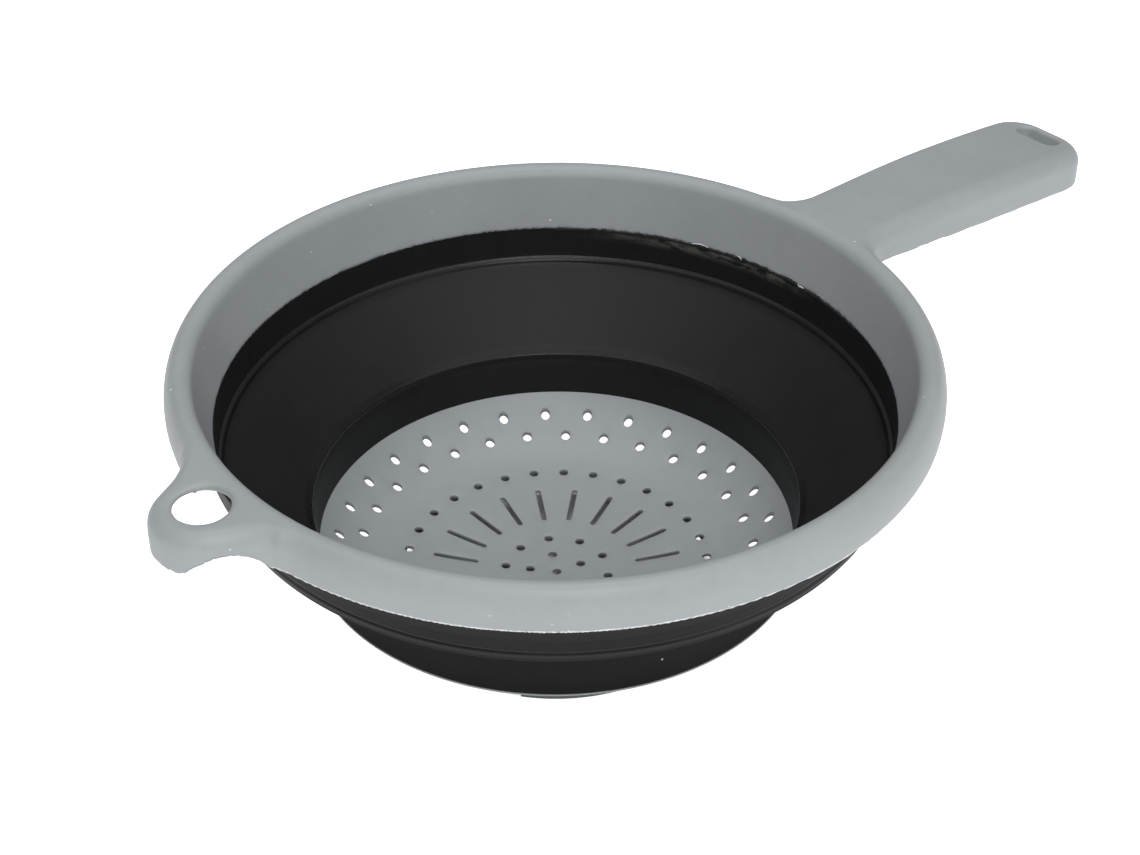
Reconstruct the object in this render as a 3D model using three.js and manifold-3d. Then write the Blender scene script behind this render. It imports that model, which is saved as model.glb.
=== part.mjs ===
// A collapsible colander. A grey plastic rim carries a long handle and a hanging loop.
// A black rubbery wall is moulded round the rim and round the edge of a grey strainer dish,
// and folds on two lines, so that the rim pushes down over the dish.
// Millimetres, +Z up. The foot stands at z = 0 and the handle points along +X.
// Every piece is drawn round the bowl's axis, and the whole is then moved so that the origin
// lies on the table under the middle of the colander's length.
import * as THREE from "three";
import { mergeVertices } from "three/addons/utils/BufferGeometryUtils.js";
import Module from "manifold-3d";

const wasm = await Module();
wasm.setup();
const radians = THREE.MathUtils.degToRad;
const quarter = Math.PI / 2;

// Fits and cutters
const bondGap = 0.3; // between the plastic and the wall moulded round it
const foldGap = 0.3; // between two bands of the wall, at the line where it folds
const overrun = 1; // how far a cutter runs past what it cuts
const joinTolerance = 0.0001; // corners nearer than this are one corner

// Rim: a rolled bead with a long shoulder and a skirt outside, and a sloping wall inside
const rimOuterRadius = 120;
const rimCrestHeight = 97.4;
const beadRadius = 4.6;
const shoulderDrop = 9.4; // from the crest to where the outside is widest
const rimWall = 2.2;
const skirtDepth = 13.7; // from the crest to the skirt's lip
const skirtDraft = radians(7);
const innerWallDepth = 21.4; // from the crest to the seam with the black wall
const innerWallDraft = radians(14.5);
const tongueLength = 5; // the plastic inside the black wall, below the seam
const tongueThickness = 1.1;

// Handle: a shell open below, whose top is level next to the rim and arches down to the tip
const handleLength = 117; // from the outside of the rim to the tip
const handleNeckWidth = 36.2;
const handleGripWidth = 37.8;
const handleGripLength = 55; // the stretch at the full width, up to the tip
const handleLevelLength = 25; // the stretch of the top that stays level with the crest
const handleArchRadius = 780;
const handleRootDepth = 11.1; // from the crest to the lower edge, at the outside of the rim
const handleUnderSlope = radians(3.75); // of the lower edge
const handleWall = 2.2;
const handleEdgeRadius = 5.8;
const handleCornerRadius = 14;
const handleRootFillet = 12;
const rootInset = 1; // the fillets at the roots end this far inside the bead
const ribThickness = 1.5;
const ribInset = 2; // from the ribs' lower edges to the handle's
const crossRibs = 5;
const hangSlotLength = 16; // across the handle
const hangSlotWidth = 7;
const hangSlotInset = 9.1; // from the slot's middle to the handle's tip

// Hanging loop, opposite the handle
const loopOffset = 5.6; // from the outside of the rim to the middle of the loop's round end
const loopOuterRadius = 15.7;
const loopFlankLean = radians(28.5); // of the straight flanks, from the handle's line
const holeOffset = 6.2; // from the outside of the rim to the middle of the hole
const loopHoleRadius = 8.5;
const loopPlate = 2.4;
const loopDrop = 0.8; // from the rim's crest to the top of the loop
const loopWall = 2;
const loopEdgeRadius = 3;
const loopHoleRound = 1;
const loopFillet = 4; // where a flank meets the rim
const archSpan = 20.7; // the cut-outs under the loop's flanks
const archRise = 5.8;
const archInset = 1.7; // from the loop's tip to the start of the cut-outs

// Black wall
const wallThickness = 2.4;
const foldThickness = 1.2;
const foldBead = 0.5; // how far the wall steps in at a fold
const upperFoldInset = 14.8; // from the outside of the rim to the ridge of the upper fold
const upperBandHeight = 11.9; // from the seam down to the upper fold
const coneWidth = 27; // between the two folds, measured level
const lowerBandHeight = 15.1; // from the dish's edge up to the lower fold
const lowerBandLean = 1.2; // how much wider the lower fold is than the dish
const shoulderRadius = 2.4;
const grooveRadius = 1.5;
const outerSkin = 0.6; // of the black wall, outside the rim's tongue
const collarHeight = 4; // how far the black wall climbs outside the rim's inner wall

// Strainer dish: a flat middle, a shallow cap round it and a flank, with a lip inside the wall
const dishFloorHeight = 7.4; // to the upper face of the flat middle
const dishCapRadius = 318;
const dishFlatShare = 0.27; // of the dish's radius, where the flat middle turns into the cap
const dishCapShare = 0.67; // and where the cap turns into the flank
const dishEdgeSlope = radians(52.3); // of the flank, where it meets the wall
const dishWall = 2;
const dishSkin = 0.6; // of the black wall, on each side of the lip
const lipThickness = 1;
const lipHeight = 5;

// Foot ring under the dish
const footInset = 22.2; // from the dish's edge to the outside of the ring
const footWall = 1.8;
const footDraft = radians(3);
const footNotches = 5;
const footNotchDepth = 4;
const footNotchWidth = 28;

// Drain holes, all upright, in rings whose places are shares of the dish's radius
const patternTurn = radians(-12); // of the middle of the pattern, from the handle
const ringHoles = 30;
const outerRingShare = 0.93;
const secondRingShare = 0.845;
const thirdRingShare = 0.647;
const slotCount = 20;
const slotOuterShare = 0.54;
const slotInnerShare = 0.345;
const slotWidth = 1.7;
const innerRingShare = 0.223;
const smallRingShare = 0.116;
const flankHoleDiameter = 3.2;
const middleHoleDiameter = 2.9;

// Facets
const roundSteps = 60;
const capSteps = 2;
const flankSteps = 3;
const beadSteps = 6;
const holeSteps = 6;
const slotEndSteps = 1;
const cornerSteps = 4;
const edgeSteps = 3;
const smallSteps = 2;
const archFacet = 30; // the longest edge left on a face that is bent to the handle's arch

// Colours
const greyPlastic = new THREE.MeshStandardMaterial({ color: 0xa0a5a8, roughness: 0.55, metalness: 0 });
const blackRubber = new THREE.MeshStandardMaterial({ color: 0x1c1d1d, roughness: 0.6, metalness: 0 });

// Sizes that follow from those above
const crestRadius = rimOuterRadius - beadRadius;
const beadHeight = rimCrestHeight - beadRadius;
const lipLevel = rimCrestHeight - skirtDepth;
const seamLevel = rimCrestHeight - innerWallDepth;
const handleReach = rimOuterRadius + handleLength;
const handleTipEdge = handleEdge(handleReach);
const loopReach = rimOuterRadius + loopOffset;
const loopTip = loopReach + loopOuterRadius;
const holeReach = rimOuterRadius + holeOffset;
const loopTop = rimCrestHeight - loopDrop;
const upperFoldRadius = rimOuterRadius - upperFoldInset;
const upperFoldHeight = seamLevel - upperBandHeight;
const lowerFoldRadius = upperFoldRadius - coneWidth;
const dishEdgeRadius = lowerFoldRadius - lowerBandLean;
const flatAngle = Math.asin((dishFlatShare * dishEdgeRadius) / dishCapRadius);
const capAngle = Math.asin((dishCapShare * dishEdgeRadius) / dishCapRadius);
const capRise = dishCapRadius * (Math.cos(flatAngle) - Math.cos(capAngle));
const flankWidth = (1 - dishCapShare) * dishEdgeRadius;
const flankRadius = flankWidth / (Math.sin(dishEdgeSlope) - Math.sin(capAngle));
const flankRise = flankRadius * (Math.cos(capAngle) - Math.cos(dishEdgeSlope));
const dishEdgeHeight = dishFloorHeight + capRise + flankRise;
const lowerFoldHeight = dishEdgeHeight + lowerBandHeight;
const coneTopHeight = upperFoldHeight - foldBead;
const coneFootHeight = lowerFoldHeight + foldBead;
const coneSlope = (coneTopHeight - coneFootHeight) / coneWidth;
const coneAngle = Math.atan(coneSlope);
const coneDrop = wallThickness / Math.cos(coneAngle); // the cone's thickness, measured upright
const lipInnerRadius = dishEdgeRadius + dishSkin + bondGap;
const lipOuterRadius = lipInnerRadius + lipThickness;
const lowerBandRadius = lipOuterRadius + bondGap + dishSkin + foldBead;
const footRadius = dishEdgeRadius - footInset;

// Curves

function point(across, up) {
  return new THREE.Vector2(across, up);
}

// An arc's points, both ends included.
function arc(centre, radius, from, to, steps = cornerSteps) {
  const points = [];
  for (let i = 0; i <= steps; i++) {
    const angle = from + ((to - from) * i) / steps;
    points.push(point(centre.x + radius * Math.cos(angle), centre.y + radius * Math.sin(angle)));
  }
  return points;
}

// A plan outline from its points, without those that repeat the one before.
function plan(points) {
  const apart = points.filter((p, i) => p.distanceTo(points.at(i - 1)) > joinTolerance);
  return new THREE.Shape(apart);
}

// Half an outline followed by its mirror image in the X axis.
function mirrored(half) {
  return [...half, ...half.map((p) => point(p.x, -p.y)).reverse()];
}

// Where a line that leans in by the draft, and starts at a point, has come down to a level.
function leanTo(start, draft, level) {
  return point(start.x - (start.y - level) * Math.tan(draft), level);
}

// Solids

// A closed geometry as a solid, with its shared corners joined and its empty triangles left out.
function solid(geometry) {
  const bare = geometry.index ? geometry.toNonIndexed() : geometry.clone();
  bare.deleteAttribute("normal");
  bare.deleteAttribute("uv");
  const merged = mergeVertices(bare, joinTolerance);
  const corners = merged.index.array;
  const kept = [];
  for (let i = 0; i < corners.length; i += 3) {
    const [a, b, c] = corners.slice(i, i + 3);
    if (a !== b && b !== c && c !== a) kept.push(a, b, c);
  }
  const vertProperties = merged.attributes.position.array;
  const triVerts = new Uint32Array(kept);
  return new wasm.Manifold(new wasm.Mesh({ numProp: 3, vertProperties, triVerts }));
}

// Turns a closed profile of [distance from the axis, height] round the Z axis. Its corners lie
// half a facet round from the handle, so that the rings of holes fall inside the facets.
function revolve(profile, steps = roundSteps) {
  const outline = THREE.ShapeUtils.area(profile) > 0 ? [...profile] : [...profile].reverse();
  const first = outline.findIndex((p) => p.x === 0);
  const turned = first < 0 ? outline : [...outline.slice(first), ...outline.slice(0, first)];
  const geometry = new THREE.LatheGeometry([...turned, turned[0]], steps);
  return solid(geometry.rotateX(quarter).rotateZ(Math.PI / steps));
}

// Extrudes a plan outline from the bottom to the top, its upper edge rounded if a radius is given.
function slab(shape, bottom, top, edge = 0) {
  const geometry = new THREE.ExtrudeGeometry(shape, {
    depth: top - bottom - edge,
    curveSegments: cornerSteps,
    bevelEnabled: edge > 0,
    bevelThickness: edge,
    bevelSize: edge,
    bevelOffset: -edge,
    bevelSegments: edgeSteps,
  });
  return solid(geometry.translate(0, 0, bottom));
}

function all(solids) {
  return solids.reduce((joined, next) => joined.add(next));
}

function named(name, body, material) {
  const { vertProperties, triVerts } = body.getMesh();
  const geometry = new THREE.BufferGeometry();
  geometry.setAttribute("position", new THREE.BufferAttribute(vertProperties, 3));
  geometry.setIndex(new THREE.BufferAttribute(triVerts, 1));
  geometry.computeVertexNormals();
  const mesh = new THREE.Mesh(geometry, material);
  mesh.name = name;
  return mesh;
}

// A straight-sided cutter or rib between two corners.
function block(low, high) {
  const size = high.clone().sub(low);
  const middle = low.clone().add(high).multiplyScalar(0.5);
  return solid(new THREE.BoxGeometry(size.x, size.y, size.z).translate(middle.x, middle.y, middle.z));
}

// An upright cylinder round a point of the plan.
function post(x, y, radius, bottom, top, steps = roundSteps) {
  const geometry = new THREE.CylinderGeometry(radius, radius, top - bottom, steps);
  return solid(geometry.rotateX(quarter).translate(x, y, (top + bottom) / 2));
}

// Rim

// The rim's section, drawn inset from its visible faces, from the lip over the bead to the seam.
// The shoulder is a quarter of an ellipse that runs on until it leans as far as the skirt.
function rimFace(inset) {
  const across = beadRadius - inset;
  const upright = shoulderDrop - inset;
  const steps = inset > 0 ? smallSteps : beadSteps / 2;
  const from = -Math.atan((upright / across) * Math.tan(skirtDraft));
  const shoulder = arc(point(0, 0), 1, from, quarter, 2 * steps).map((p) =>
    point(crestRadius + across * p.x, rimCrestHeight - shoulderDrop + upright * p.y),
  );
  const roll = arc(point(crestRadius, beadHeight), across, quarter, Math.PI - innerWallDraft, steps);
  const bead = [...shoulder, ...roll.slice(1)];
  const lip = leanTo(bead[0], skirtDraft, lipLevel);
  return { lip, bead, seam: leanTo(bead[bead.length - 1], innerWallDraft, seamLevel) };
}

function rimProfile() {
  const face = rimFace(0);
  const back = rimFace(rimWall);
  const tongueEnd = seamLevel - tongueLength;
  const tongueInner = back.seam.x - tongueThickness;
  return [
    face.lip,
    ...face.bead,
    face.seam,
    point(tongueInner, seamLevel),
    point(tongueInner, tongueEnd),
    point(back.seam.x, tongueEnd),
    back.seam,
    ...back.bead.reverse(),
    back.lip,
  ];
}

// The room inside the middle of the rim's thickness: what grows out of the rim stops there.
function rimCore() {
  const middle = rimFace(rimWall / 2);
  const low = lipLevel - handleRootDepth;
  return revolve([
    point(0, low),
    point(middle.lip.x, low),
    middle.lip,
    ...middle.bead.filter((p) => p.x > crestRadius),
    point(crestRadius, rimCrestHeight + overrun),
    point(0, rimCrestHeight + overrun),
  ]);
}

// Handle

// The handle's plan, drawn inset from its visible sides.
function handlePlan(inset) {
  const neck = handleNeckWidth / 2 - inset;
  const grip = handleGripWidth / 2 - inset;
  const corner = handleCornerRadius - inset;
  const fillet = handleRootFillet + inset;
  const toFillet = rimOuterRadius - rootInset - inset + fillet;
  const centre = point(Math.sqrt(toFillet ** 2 - (neck + fillet) ** 2), -neck - fillet);
  const meet = Math.asin((neck + fillet) / toFillet);
  const gripStart = handleReach - handleGripLength;
  const midway = (centre.x + gripStart) / 2;
  const swell = new THREE.CubicBezierCurve(
    point(centre.x, -neck),
    point(midway, -neck),
    point(midway, -grip),
    point(gripStart, -grip),
  );
  const inboard = crestRadius - 2 * (beadRadius + handleEdgeRadius);
  return plan(
    mirrored([
      point(inboard, centre.y + fillet * Math.sin(meet)),
      ...arc(centre, fillet, Math.PI - meet, quarter),
      ...swell.getPoints(2 * cornerSteps),
      ...arc(point(handleReach - handleCornerRadius, corner - grip), corner, -quarter, 0),
    ]),
  );
}

// A long hole across the handle, or the boss round it.
function hangSlotPlan(grown) {
  const radius = hangSlotWidth / 2 + grown;
  const end = point(handleReach - hangSlotInset, (hangSlotLength - hangSlotWidth) / 2);
  return plan(mirrored(arc(end, radius, Math.PI, 0)));
}

// The height of the handle's lower edge at a distance from the axis.
function handleEdge(x) {
  return rimCrestHeight - handleRootDepth - (x - rimOuterRadius) * Math.tan(handleUnderSlope);
}

// A slab under the handle's top, bent down beyond its level stretch, and inset from its faces.
function handleSlab(inset) {
  const low = handleTipEdge - handleRootDepth;
  const level = slab(handlePlan(inset), low, rimCrestHeight - inset, handleEdgeRadius - inset);
  return level.refineToLength(archFacet).warp((corner) => {
    const past = Math.max(corner[0] - rimOuterRadius - handleLevelLength, 0);
    corner[2] -= past ** 2 / (2 * handleArchRadius);
  });
}

// All that lies above the handle's lower edge, or above a line parallel to it.
function aboveEdge(raised) {
  const far = 2 * handleReach;
  const high = rimCrestHeight + overrun;
  const side = plan([
    point(0, handleEdge(0) + raised),
    point(far, handleEdge(far) + raised),
    point(far, high),
    point(0, high),
  ]);
  return slab(side, -rimOuterRadius, rimOuterRadius).rotate([90, 0, 0]);
}

function handleRibs() {
  const low = handleTipEdge;
  const side = handleGripWidth;
  const half = ribThickness / 2;
  const start = rimOuterRadius;
  const end = handleReach - hangSlotInset - hangSlotWidth / 2;
  const spine = block(
    new THREE.Vector3(start - beadRadius, -half, low),
    new THREE.Vector3(end, half, rimCrestHeight),
  );
  const ribs = [spine];
  for (let i = 0; i < crossRibs; i++) {
    const x = start + ((end - start) * (i + 1)) / (crossRibs + 1);
    const first = new THREE.Vector3(x - half, -side, low);
    ribs.push(block(first, new THREE.Vector3(x + half, side, rimCrestHeight)));
  }
  return all(ribs).intersect(aboveEdge(ribInset));
}

function handle() {
  const boss = slab(hangSlotPlan(handleWall), handleTipEdge - overrun, rimCrestHeight);
  const slot = slab(hangSlotPlan(0), handleTipEdge - overrun, rimCrestHeight + overrun);
  const inside = handleRibs().add(boss).intersect(handleSlab(handleWall / 2));
  const shell = handleSlab(0).subtract(handleSlab(handleWall)).add(inside);
  return shell.intersect(aboveEdge(0)).subtract(slot).subtract(rimCore());
}

// Hanging loop

// The loop's plan, drawn inset from its visible sides: a round end, and straight flanks that
// touch it and run through concave fillets into the rim.
function loopPlan(inset) {
  const radius = loopOuterRadius - inset;
  const fillet = loopFillet + inset;
  const toRim = rimOuterRadius - rootInset - inset + fillet;
  const flank = point(Math.cos(loopFlankLean), Math.sin(loopFlankLean));
  const side = point(-flank.y, flank.x).multiplyScalar(radius + fillet);
  const abreast = point(side.x - loopReach, side.y); // the fillet's middle, abreast of the round end
  const along = abreast.dot(flank);
  const run = -along - Math.sqrt(along ** 2 - abreast.lengthSq() + toRim ** 2);
  const centre = abreast.addScaledVector(flank, run);
  const atRim = Math.asin(centre.y / toRim);
  const inboard = 2 * (beadRadius + loopEdgeRadius) - crestRadius;
  return plan(
    mirrored([
      point(inboard, centre.y - fillet * Math.sin(atRim)),
      ...arc(centre, fillet, -atRim, loopFlankLean - quarter),
      ...arc(point(-loopReach, 0), radius, quarter + loopFlankLean, Math.PI, 2 * cornerSteps),
    ]),
  );
}

// The cutter for the hole, flared where the plate's upper edge is rounded.
function loopHole() {
  const flared = loopHoleRadius + loopHoleRound;
  const centre = point(flared, loopTop - loopHoleRound);
  const cutter = revolve(
    [
      point(0, lipLevel - overrun),
      point(loopHoleRadius, lipLevel - overrun),
      ...arc(centre, loopHoleRound, Math.PI, quarter, smallSteps),
      point(flared, loopTop + overrun),
      point(0, loopTop + overrun),
    ],
    roundSteps / 3,
  );
  return cutter.translate([-holeReach, 0, 0]);
}

// One round cutter across the loop makes the arch under both flanks.
function loopArch() {
  const radius = ((archSpan / 2) ** 2 + archRise ** 2) / (2 * archRise);
  const across = 2 * (loopOuterRadius + loopFillet);
  const geometry = new THREE.CylinderGeometry(radius, radius, across, roundSteps / 3);
  const middle = archInset + archSpan / 2 - loopTip;
  return solid(geometry.translate(middle, 0, lipLevel + archRise - radius));
}

function loop() {
  const whole = slab(loopPlan(0), lipLevel - 2 * loopEdgeRadius, loopTop, loopEdgeRadius);
  const floor = block(
    new THREE.Vector3(-2 * loopReach, -rimOuterRadius, lipLevel),
    new THREE.Vector3(0, rimOuterRadius, rimCrestHeight + overrun),
  );
  const room = slab(loopPlan(loopWall), lipLevel - 2 * loopPlate, loopTop - loopPlate);
  const cutters = all([room, loopArch(), loopHole(), rimCore()]);
  return whole.intersect(floor).subtract(cutters);
}

function rimFrame() {
  return all([revolve(rimProfile()), handle(), loop()]);
}

// Black wall

// The height of the cone's upper face at a distance from the axis.
function coneHeight(radius) {
  return coneFootHeight + (radius - lowerFoldRadius) * coneSlope;
}

// From the collar that grips the rim's tongue down to the shoulder under the upper fold.
function upperBand() {
  const seam = rimFace(0).seam;
  const back = rimFace(rimWall);
  const innerRadius = upperFoldRadius + foldBead;
  const bandRadius = innerRadius + wallThickness;
  const slotOuter = back.seam.x + bondGap;
  const slotInner = back.seam.x - tongueThickness - bondGap;
  const slotEnd = seamLevel - tongueLength - bondGap;
  const collarRadius = slotOuter + outerSkin;
  const climb = collarHeight * Math.tan(innerWallDraft);
  const shoulder = upperFoldRadius + wallThickness;
  const tangent = coneAngle - quarter;
  const shoulderX = shoulder - shoulderRadius;
  const tangentX = shoulderX + shoulderRadius * Math.cos(tangent);
  const shoulderY = coneHeight(tangentX) - coneDrop - shoulderRadius * Math.sin(tangent);
  const groove = point(innerRadius + foldThickness + grooveRadius, shoulderY + 2 * grooveRadius);
  const grooveLow = -Math.PI + Math.acos((groove.x - shoulder) / grooveRadius);
  const grooveHigh = -Math.PI - Math.acos((groove.x - bandRadius) / grooveRadius);
  return revolve([
    point(seam.x, seamLevel - bondGap),
    ...arc(point(innerRadius, upperFoldHeight), foldBead, quarter, Math.PI, smallSteps),
    point(upperFoldRadius, coneTopHeight),
    point(upperFoldRadius, coneTopHeight - coneDrop),
    ...arc(point(shoulderX, shoulderY), shoulderRadius, tangent, 0, smallSteps),
    ...arc(groove, grooveRadius, grooveLow, grooveHigh, smallSteps),
    point(bandRadius, slotEnd - outerSkin - wallThickness),
    point(collarRadius, slotEnd - outerSkin),
    point(collarRadius, seamLevel),
    point(collarRadius + climb, seamLevel + collarHeight),
    point(slotOuter + climb, seamLevel + collarHeight),
    point(slotOuter, seamLevel),
    point(slotOuter, slotEnd),
    point(slotInner, slotEnd),
    point(slotInner, seamLevel - bondGap),
  ]);
}

// The cone between the folds, which turns inside out when the colander is pushed flat.
function coneBand() {
  const outer = upperFoldRadius - foldGap;
  const inner = lowerBandRadius + foldGap;
  return revolve([
    point(inner, coneHeight(inner)),
    point(outer, coneHeight(outer)),
    point(outer, coneHeight(outer) - coneDrop),
    point(inner, coneHeight(inner) - coneDrop),
  ]);
}

// From the lower fold down to the dish, with the slot that grips the dish's lip.
function lowerBand() {
  const lipTop = dishEdgeHeight + lipHeight + bondGap;
  const foldX = lowerFoldRadius + foldBead;
  const foldFoot = lowerFoldHeight - 2 * grooveRadius;
  return revolve([
    point(dishEdgeRadius, dishEdgeHeight + bondGap),
    point(lowerFoldRadius, foldFoot),
    point(foldX, foldFoot + grooveRadius / 2),
    point(foldX, lowerFoldHeight - grooveRadius / 2),
    ...arc(point(foldX, lowerFoldHeight), foldBead, Math.PI, quarter, smallSteps),
    point(lowerBandRadius, coneHeight(lowerBandRadius)),
    point(lowerBandRadius, lipTop),
    point(lipOuterRadius + bondGap + dishSkin, dishEdgeHeight - bondGap),
    point(lipOuterRadius + bondGap, dishEdgeHeight - bondGap),
    point(lipOuterRadius + bondGap, lipTop),
    point(lipInnerRadius - bondGap, lipTop),
    point(lipInnerRadius - bondGap, dishEdgeHeight + bondGap),
  ]);
}

// Strainer dish

// One face of the dish, set down by some of its wall, from the middle to a distance from the
// axis. The flank's curve starts in line with the end of the cap.
function dishFace(reach, down) {
  const centre = point(0, dishFloorHeight + dishCapRadius * Math.cos(flatAngle));
  const back = dishCapRadius - flankRadius;
  const flank = point(back * Math.sin(capAngle), centre.y - back * Math.cos(capAngle));
  const end = Math.asin((reach - flank.x) / (flankRadius + down)) - quarter;
  const cap = arc(centre, dishCapRadius + down, flatAngle - quarter, capAngle - quarter, capSteps);
  const steep = arc(flank, flankRadius + down, capAngle - quarter, end, flankSteps);
  return [point(0, cap[0].y), ...cap, ...steep.slice(1)];
}

function dishProfile() {
  return [
    ...dishFace(dishEdgeRadius, 0),
    point(lipInnerRadius, dishEdgeHeight),
    point(lipInnerRadius, dishEdgeHeight + lipHeight),
    point(lipOuterRadius, dishEdgeHeight + lipHeight),
    ...dishFace(lipOuterRadius, dishWall).reverse(),
  ];
}

// The ring that the colander stands on, open at its notches for the water to run out.
function footRing() {
  const spread = dishEdgeHeight * Math.tan(footDraft);
  const ring = revolve([
    point(footRadius - footWall, 0),
    point(footRadius, 0),
    point(footRadius + spread, dishEdgeHeight),
    point(footRadius - footWall - spread, dishEdgeHeight),
  ]);
  const above = revolve([
    ...dishFace(lipOuterRadius, dishWall / 2),
    point(lipOuterRadius, 2 * dishEdgeHeight),
    point(0, 2 * dishEdgeHeight),
  ]);
  return ring.subtract(above).subtract(footNotchCutters());
}

function footNotchCutters() {
  const cutters = [];
  for (let i = 0; i < footNotches; i++) {
    const turn = THREE.MathUtils.radToDeg(patternTurn) + (360 * i) / footNotches;
    const cutter = block(
      new THREE.Vector3(0, -footNotchWidth / 2, -overrun),
      new THREE.Vector3(2 * footRadius, footNotchWidth / 2, footNotchDepth),
    );
    cutters.push(cutter.rotate([0, 0, turn]));
  }
  return all(cutters);
}

// Upright holes in a ring, as a mould draws them, the first turned from the handle.
function holeRing(count, ringShare, turn, diameter = middleHoleDiameter) {
  const ringRadius = ringShare * dishEdgeRadius;
  const holes = [];
  for (let i = 0; i < count; i++) {
    const angle = turn + (2 * Math.PI * i) / count;
    const x = ringRadius * Math.cos(angle);
    const y = ringRadius * Math.sin(angle);
    holes.push(post(x, y, diameter / 2, 0, dishEdgeHeight + overrun, holeSteps));
  }
  return holes;
}

// Slots that point at the middle, round a ring.
function slots() {
  const radius = slotWidth / 2;
  const outerEnd = point(slotOuterShare * dishEdgeRadius - radius, 0);
  const innerEnd = point(slotInnerShare * dishEdgeRadius + radius, 0);
  const outer = arc(outerEnd, radius, 0, quarter, slotEndSteps);
  const inner = arc(innerEnd, radius, quarter, Math.PI, slotEndSteps);
  const one = slab(plan(mirrored([...outer, ...inner])), 0, dishEdgeHeight);
  const cutters = [];
  for (let i = 0; i < slotCount; i++) {
    cutters.push(one.rotate([0, 0, THREE.MathUtils.radToDeg(patternTurn) + (360 * i) / slotCount]));
  }
  return cutters;
}

function strainerDish() {
  const pitch = (2 * Math.PI) / ringHoles;
  const cutters = all([
    ...holeRing(ringHoles, outerRingShare, pitch / 2, flankHoleDiameter),
    ...holeRing(ringHoles, secondRingShare, 0, flankHoleDiameter),
    ...holeRing(ringHoles, thirdRingShare, 0),
    ...slots(),
    ...holeRing(slotCount / 2, innerRingShare, patternTurn),
    ...holeRing(slotCount / 4, smallRingShare, patternTurn),
    ...holeRing(1, 0, patternTurn),
  ]);
  return revolve(dishProfile()).add(footRing()).subtract(cutters);
}

const colander = new THREE.Group();
colander.position.x = (loopTip - handleReach) / 2;
colander.add(
  named("rim_frame", rimFrame(), greyPlastic),
  named("wall_upper_band", upperBand(), blackRubber),
  named("wall_cone_band", coneBand(), blackRubber),
  named("wall_lower_band", lowerBand(), blackRubber),
  named("strainer_dish", strainerDish(), greyPlastic),
);
export default colander;
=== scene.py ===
"""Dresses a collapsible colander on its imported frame: the grey rim with its handle and hanging
loop, the black folding wall and the grey strainer dish, on a pale studio floor.

Lengths are metres. Pieces are drawn round the bowl's axis and then set in the frame, where the
axis stands at AXIS_X.
"""

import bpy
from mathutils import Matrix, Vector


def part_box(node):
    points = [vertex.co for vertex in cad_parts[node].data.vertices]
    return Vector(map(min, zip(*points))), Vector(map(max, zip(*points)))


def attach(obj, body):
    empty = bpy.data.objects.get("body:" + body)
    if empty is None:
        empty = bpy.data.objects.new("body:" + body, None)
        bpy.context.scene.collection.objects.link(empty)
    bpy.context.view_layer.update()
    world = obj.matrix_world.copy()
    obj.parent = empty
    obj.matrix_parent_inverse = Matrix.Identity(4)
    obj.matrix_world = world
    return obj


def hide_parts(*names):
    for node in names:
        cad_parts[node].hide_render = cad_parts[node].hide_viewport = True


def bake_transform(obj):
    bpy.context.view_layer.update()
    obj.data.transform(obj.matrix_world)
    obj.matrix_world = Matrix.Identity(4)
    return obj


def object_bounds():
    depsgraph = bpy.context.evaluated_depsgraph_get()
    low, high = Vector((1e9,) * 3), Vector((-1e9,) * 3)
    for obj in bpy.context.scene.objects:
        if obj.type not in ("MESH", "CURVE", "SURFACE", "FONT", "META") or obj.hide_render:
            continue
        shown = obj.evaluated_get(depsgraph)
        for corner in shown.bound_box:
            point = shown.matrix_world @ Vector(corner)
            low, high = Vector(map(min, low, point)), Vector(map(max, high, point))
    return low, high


bl_info = {
    "name": "Collapsible colander",
    "version": (1, 0, 0),
    "blender": (4, 5, 0),
    "location": "3D View > Sidebar > Colander",
    "description": "Builds a collapsible colander piece by piece on its frame",
    "category": "Object",
}

from functools import partial
from math import asin, atan2, cos, pi, radians, sin, sqrt, tan

import bpy
import numpy as np
from bpy.props import FloatProperty, FloatVectorProperty, IntProperty, PointerProperty
from mathutils import Matrix, Vector
from mathutils.geometry import delaunay_2d_cdt

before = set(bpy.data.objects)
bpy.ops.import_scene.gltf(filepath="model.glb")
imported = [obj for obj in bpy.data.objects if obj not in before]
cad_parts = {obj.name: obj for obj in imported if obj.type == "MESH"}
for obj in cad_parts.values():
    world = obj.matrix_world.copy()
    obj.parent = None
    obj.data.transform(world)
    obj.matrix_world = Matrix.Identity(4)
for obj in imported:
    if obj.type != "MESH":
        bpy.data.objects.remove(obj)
CAD_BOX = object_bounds()
AXIS_X = sum(corner.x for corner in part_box("wall_cone_band")) / 2


def length(name, default, about):
    return FloatProperty(name=name, description=about, default=default, unit="LENGTH", precision=5)


def turn(name, degrees, about):
    return FloatProperty(name=name, description=about, default=radians(degrees), subtype="ANGLE")


def share(name, default, about):
    return FloatProperty(
        name=name, description=about, default=default, subtype="FACTOR", min=0, max=1
    )


def colour(name, default, about):
    return FloatVectorProperty(
        name=name, description=about, default=default, subtype="COLOR", min=0, max=1, size=3
    )


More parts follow.
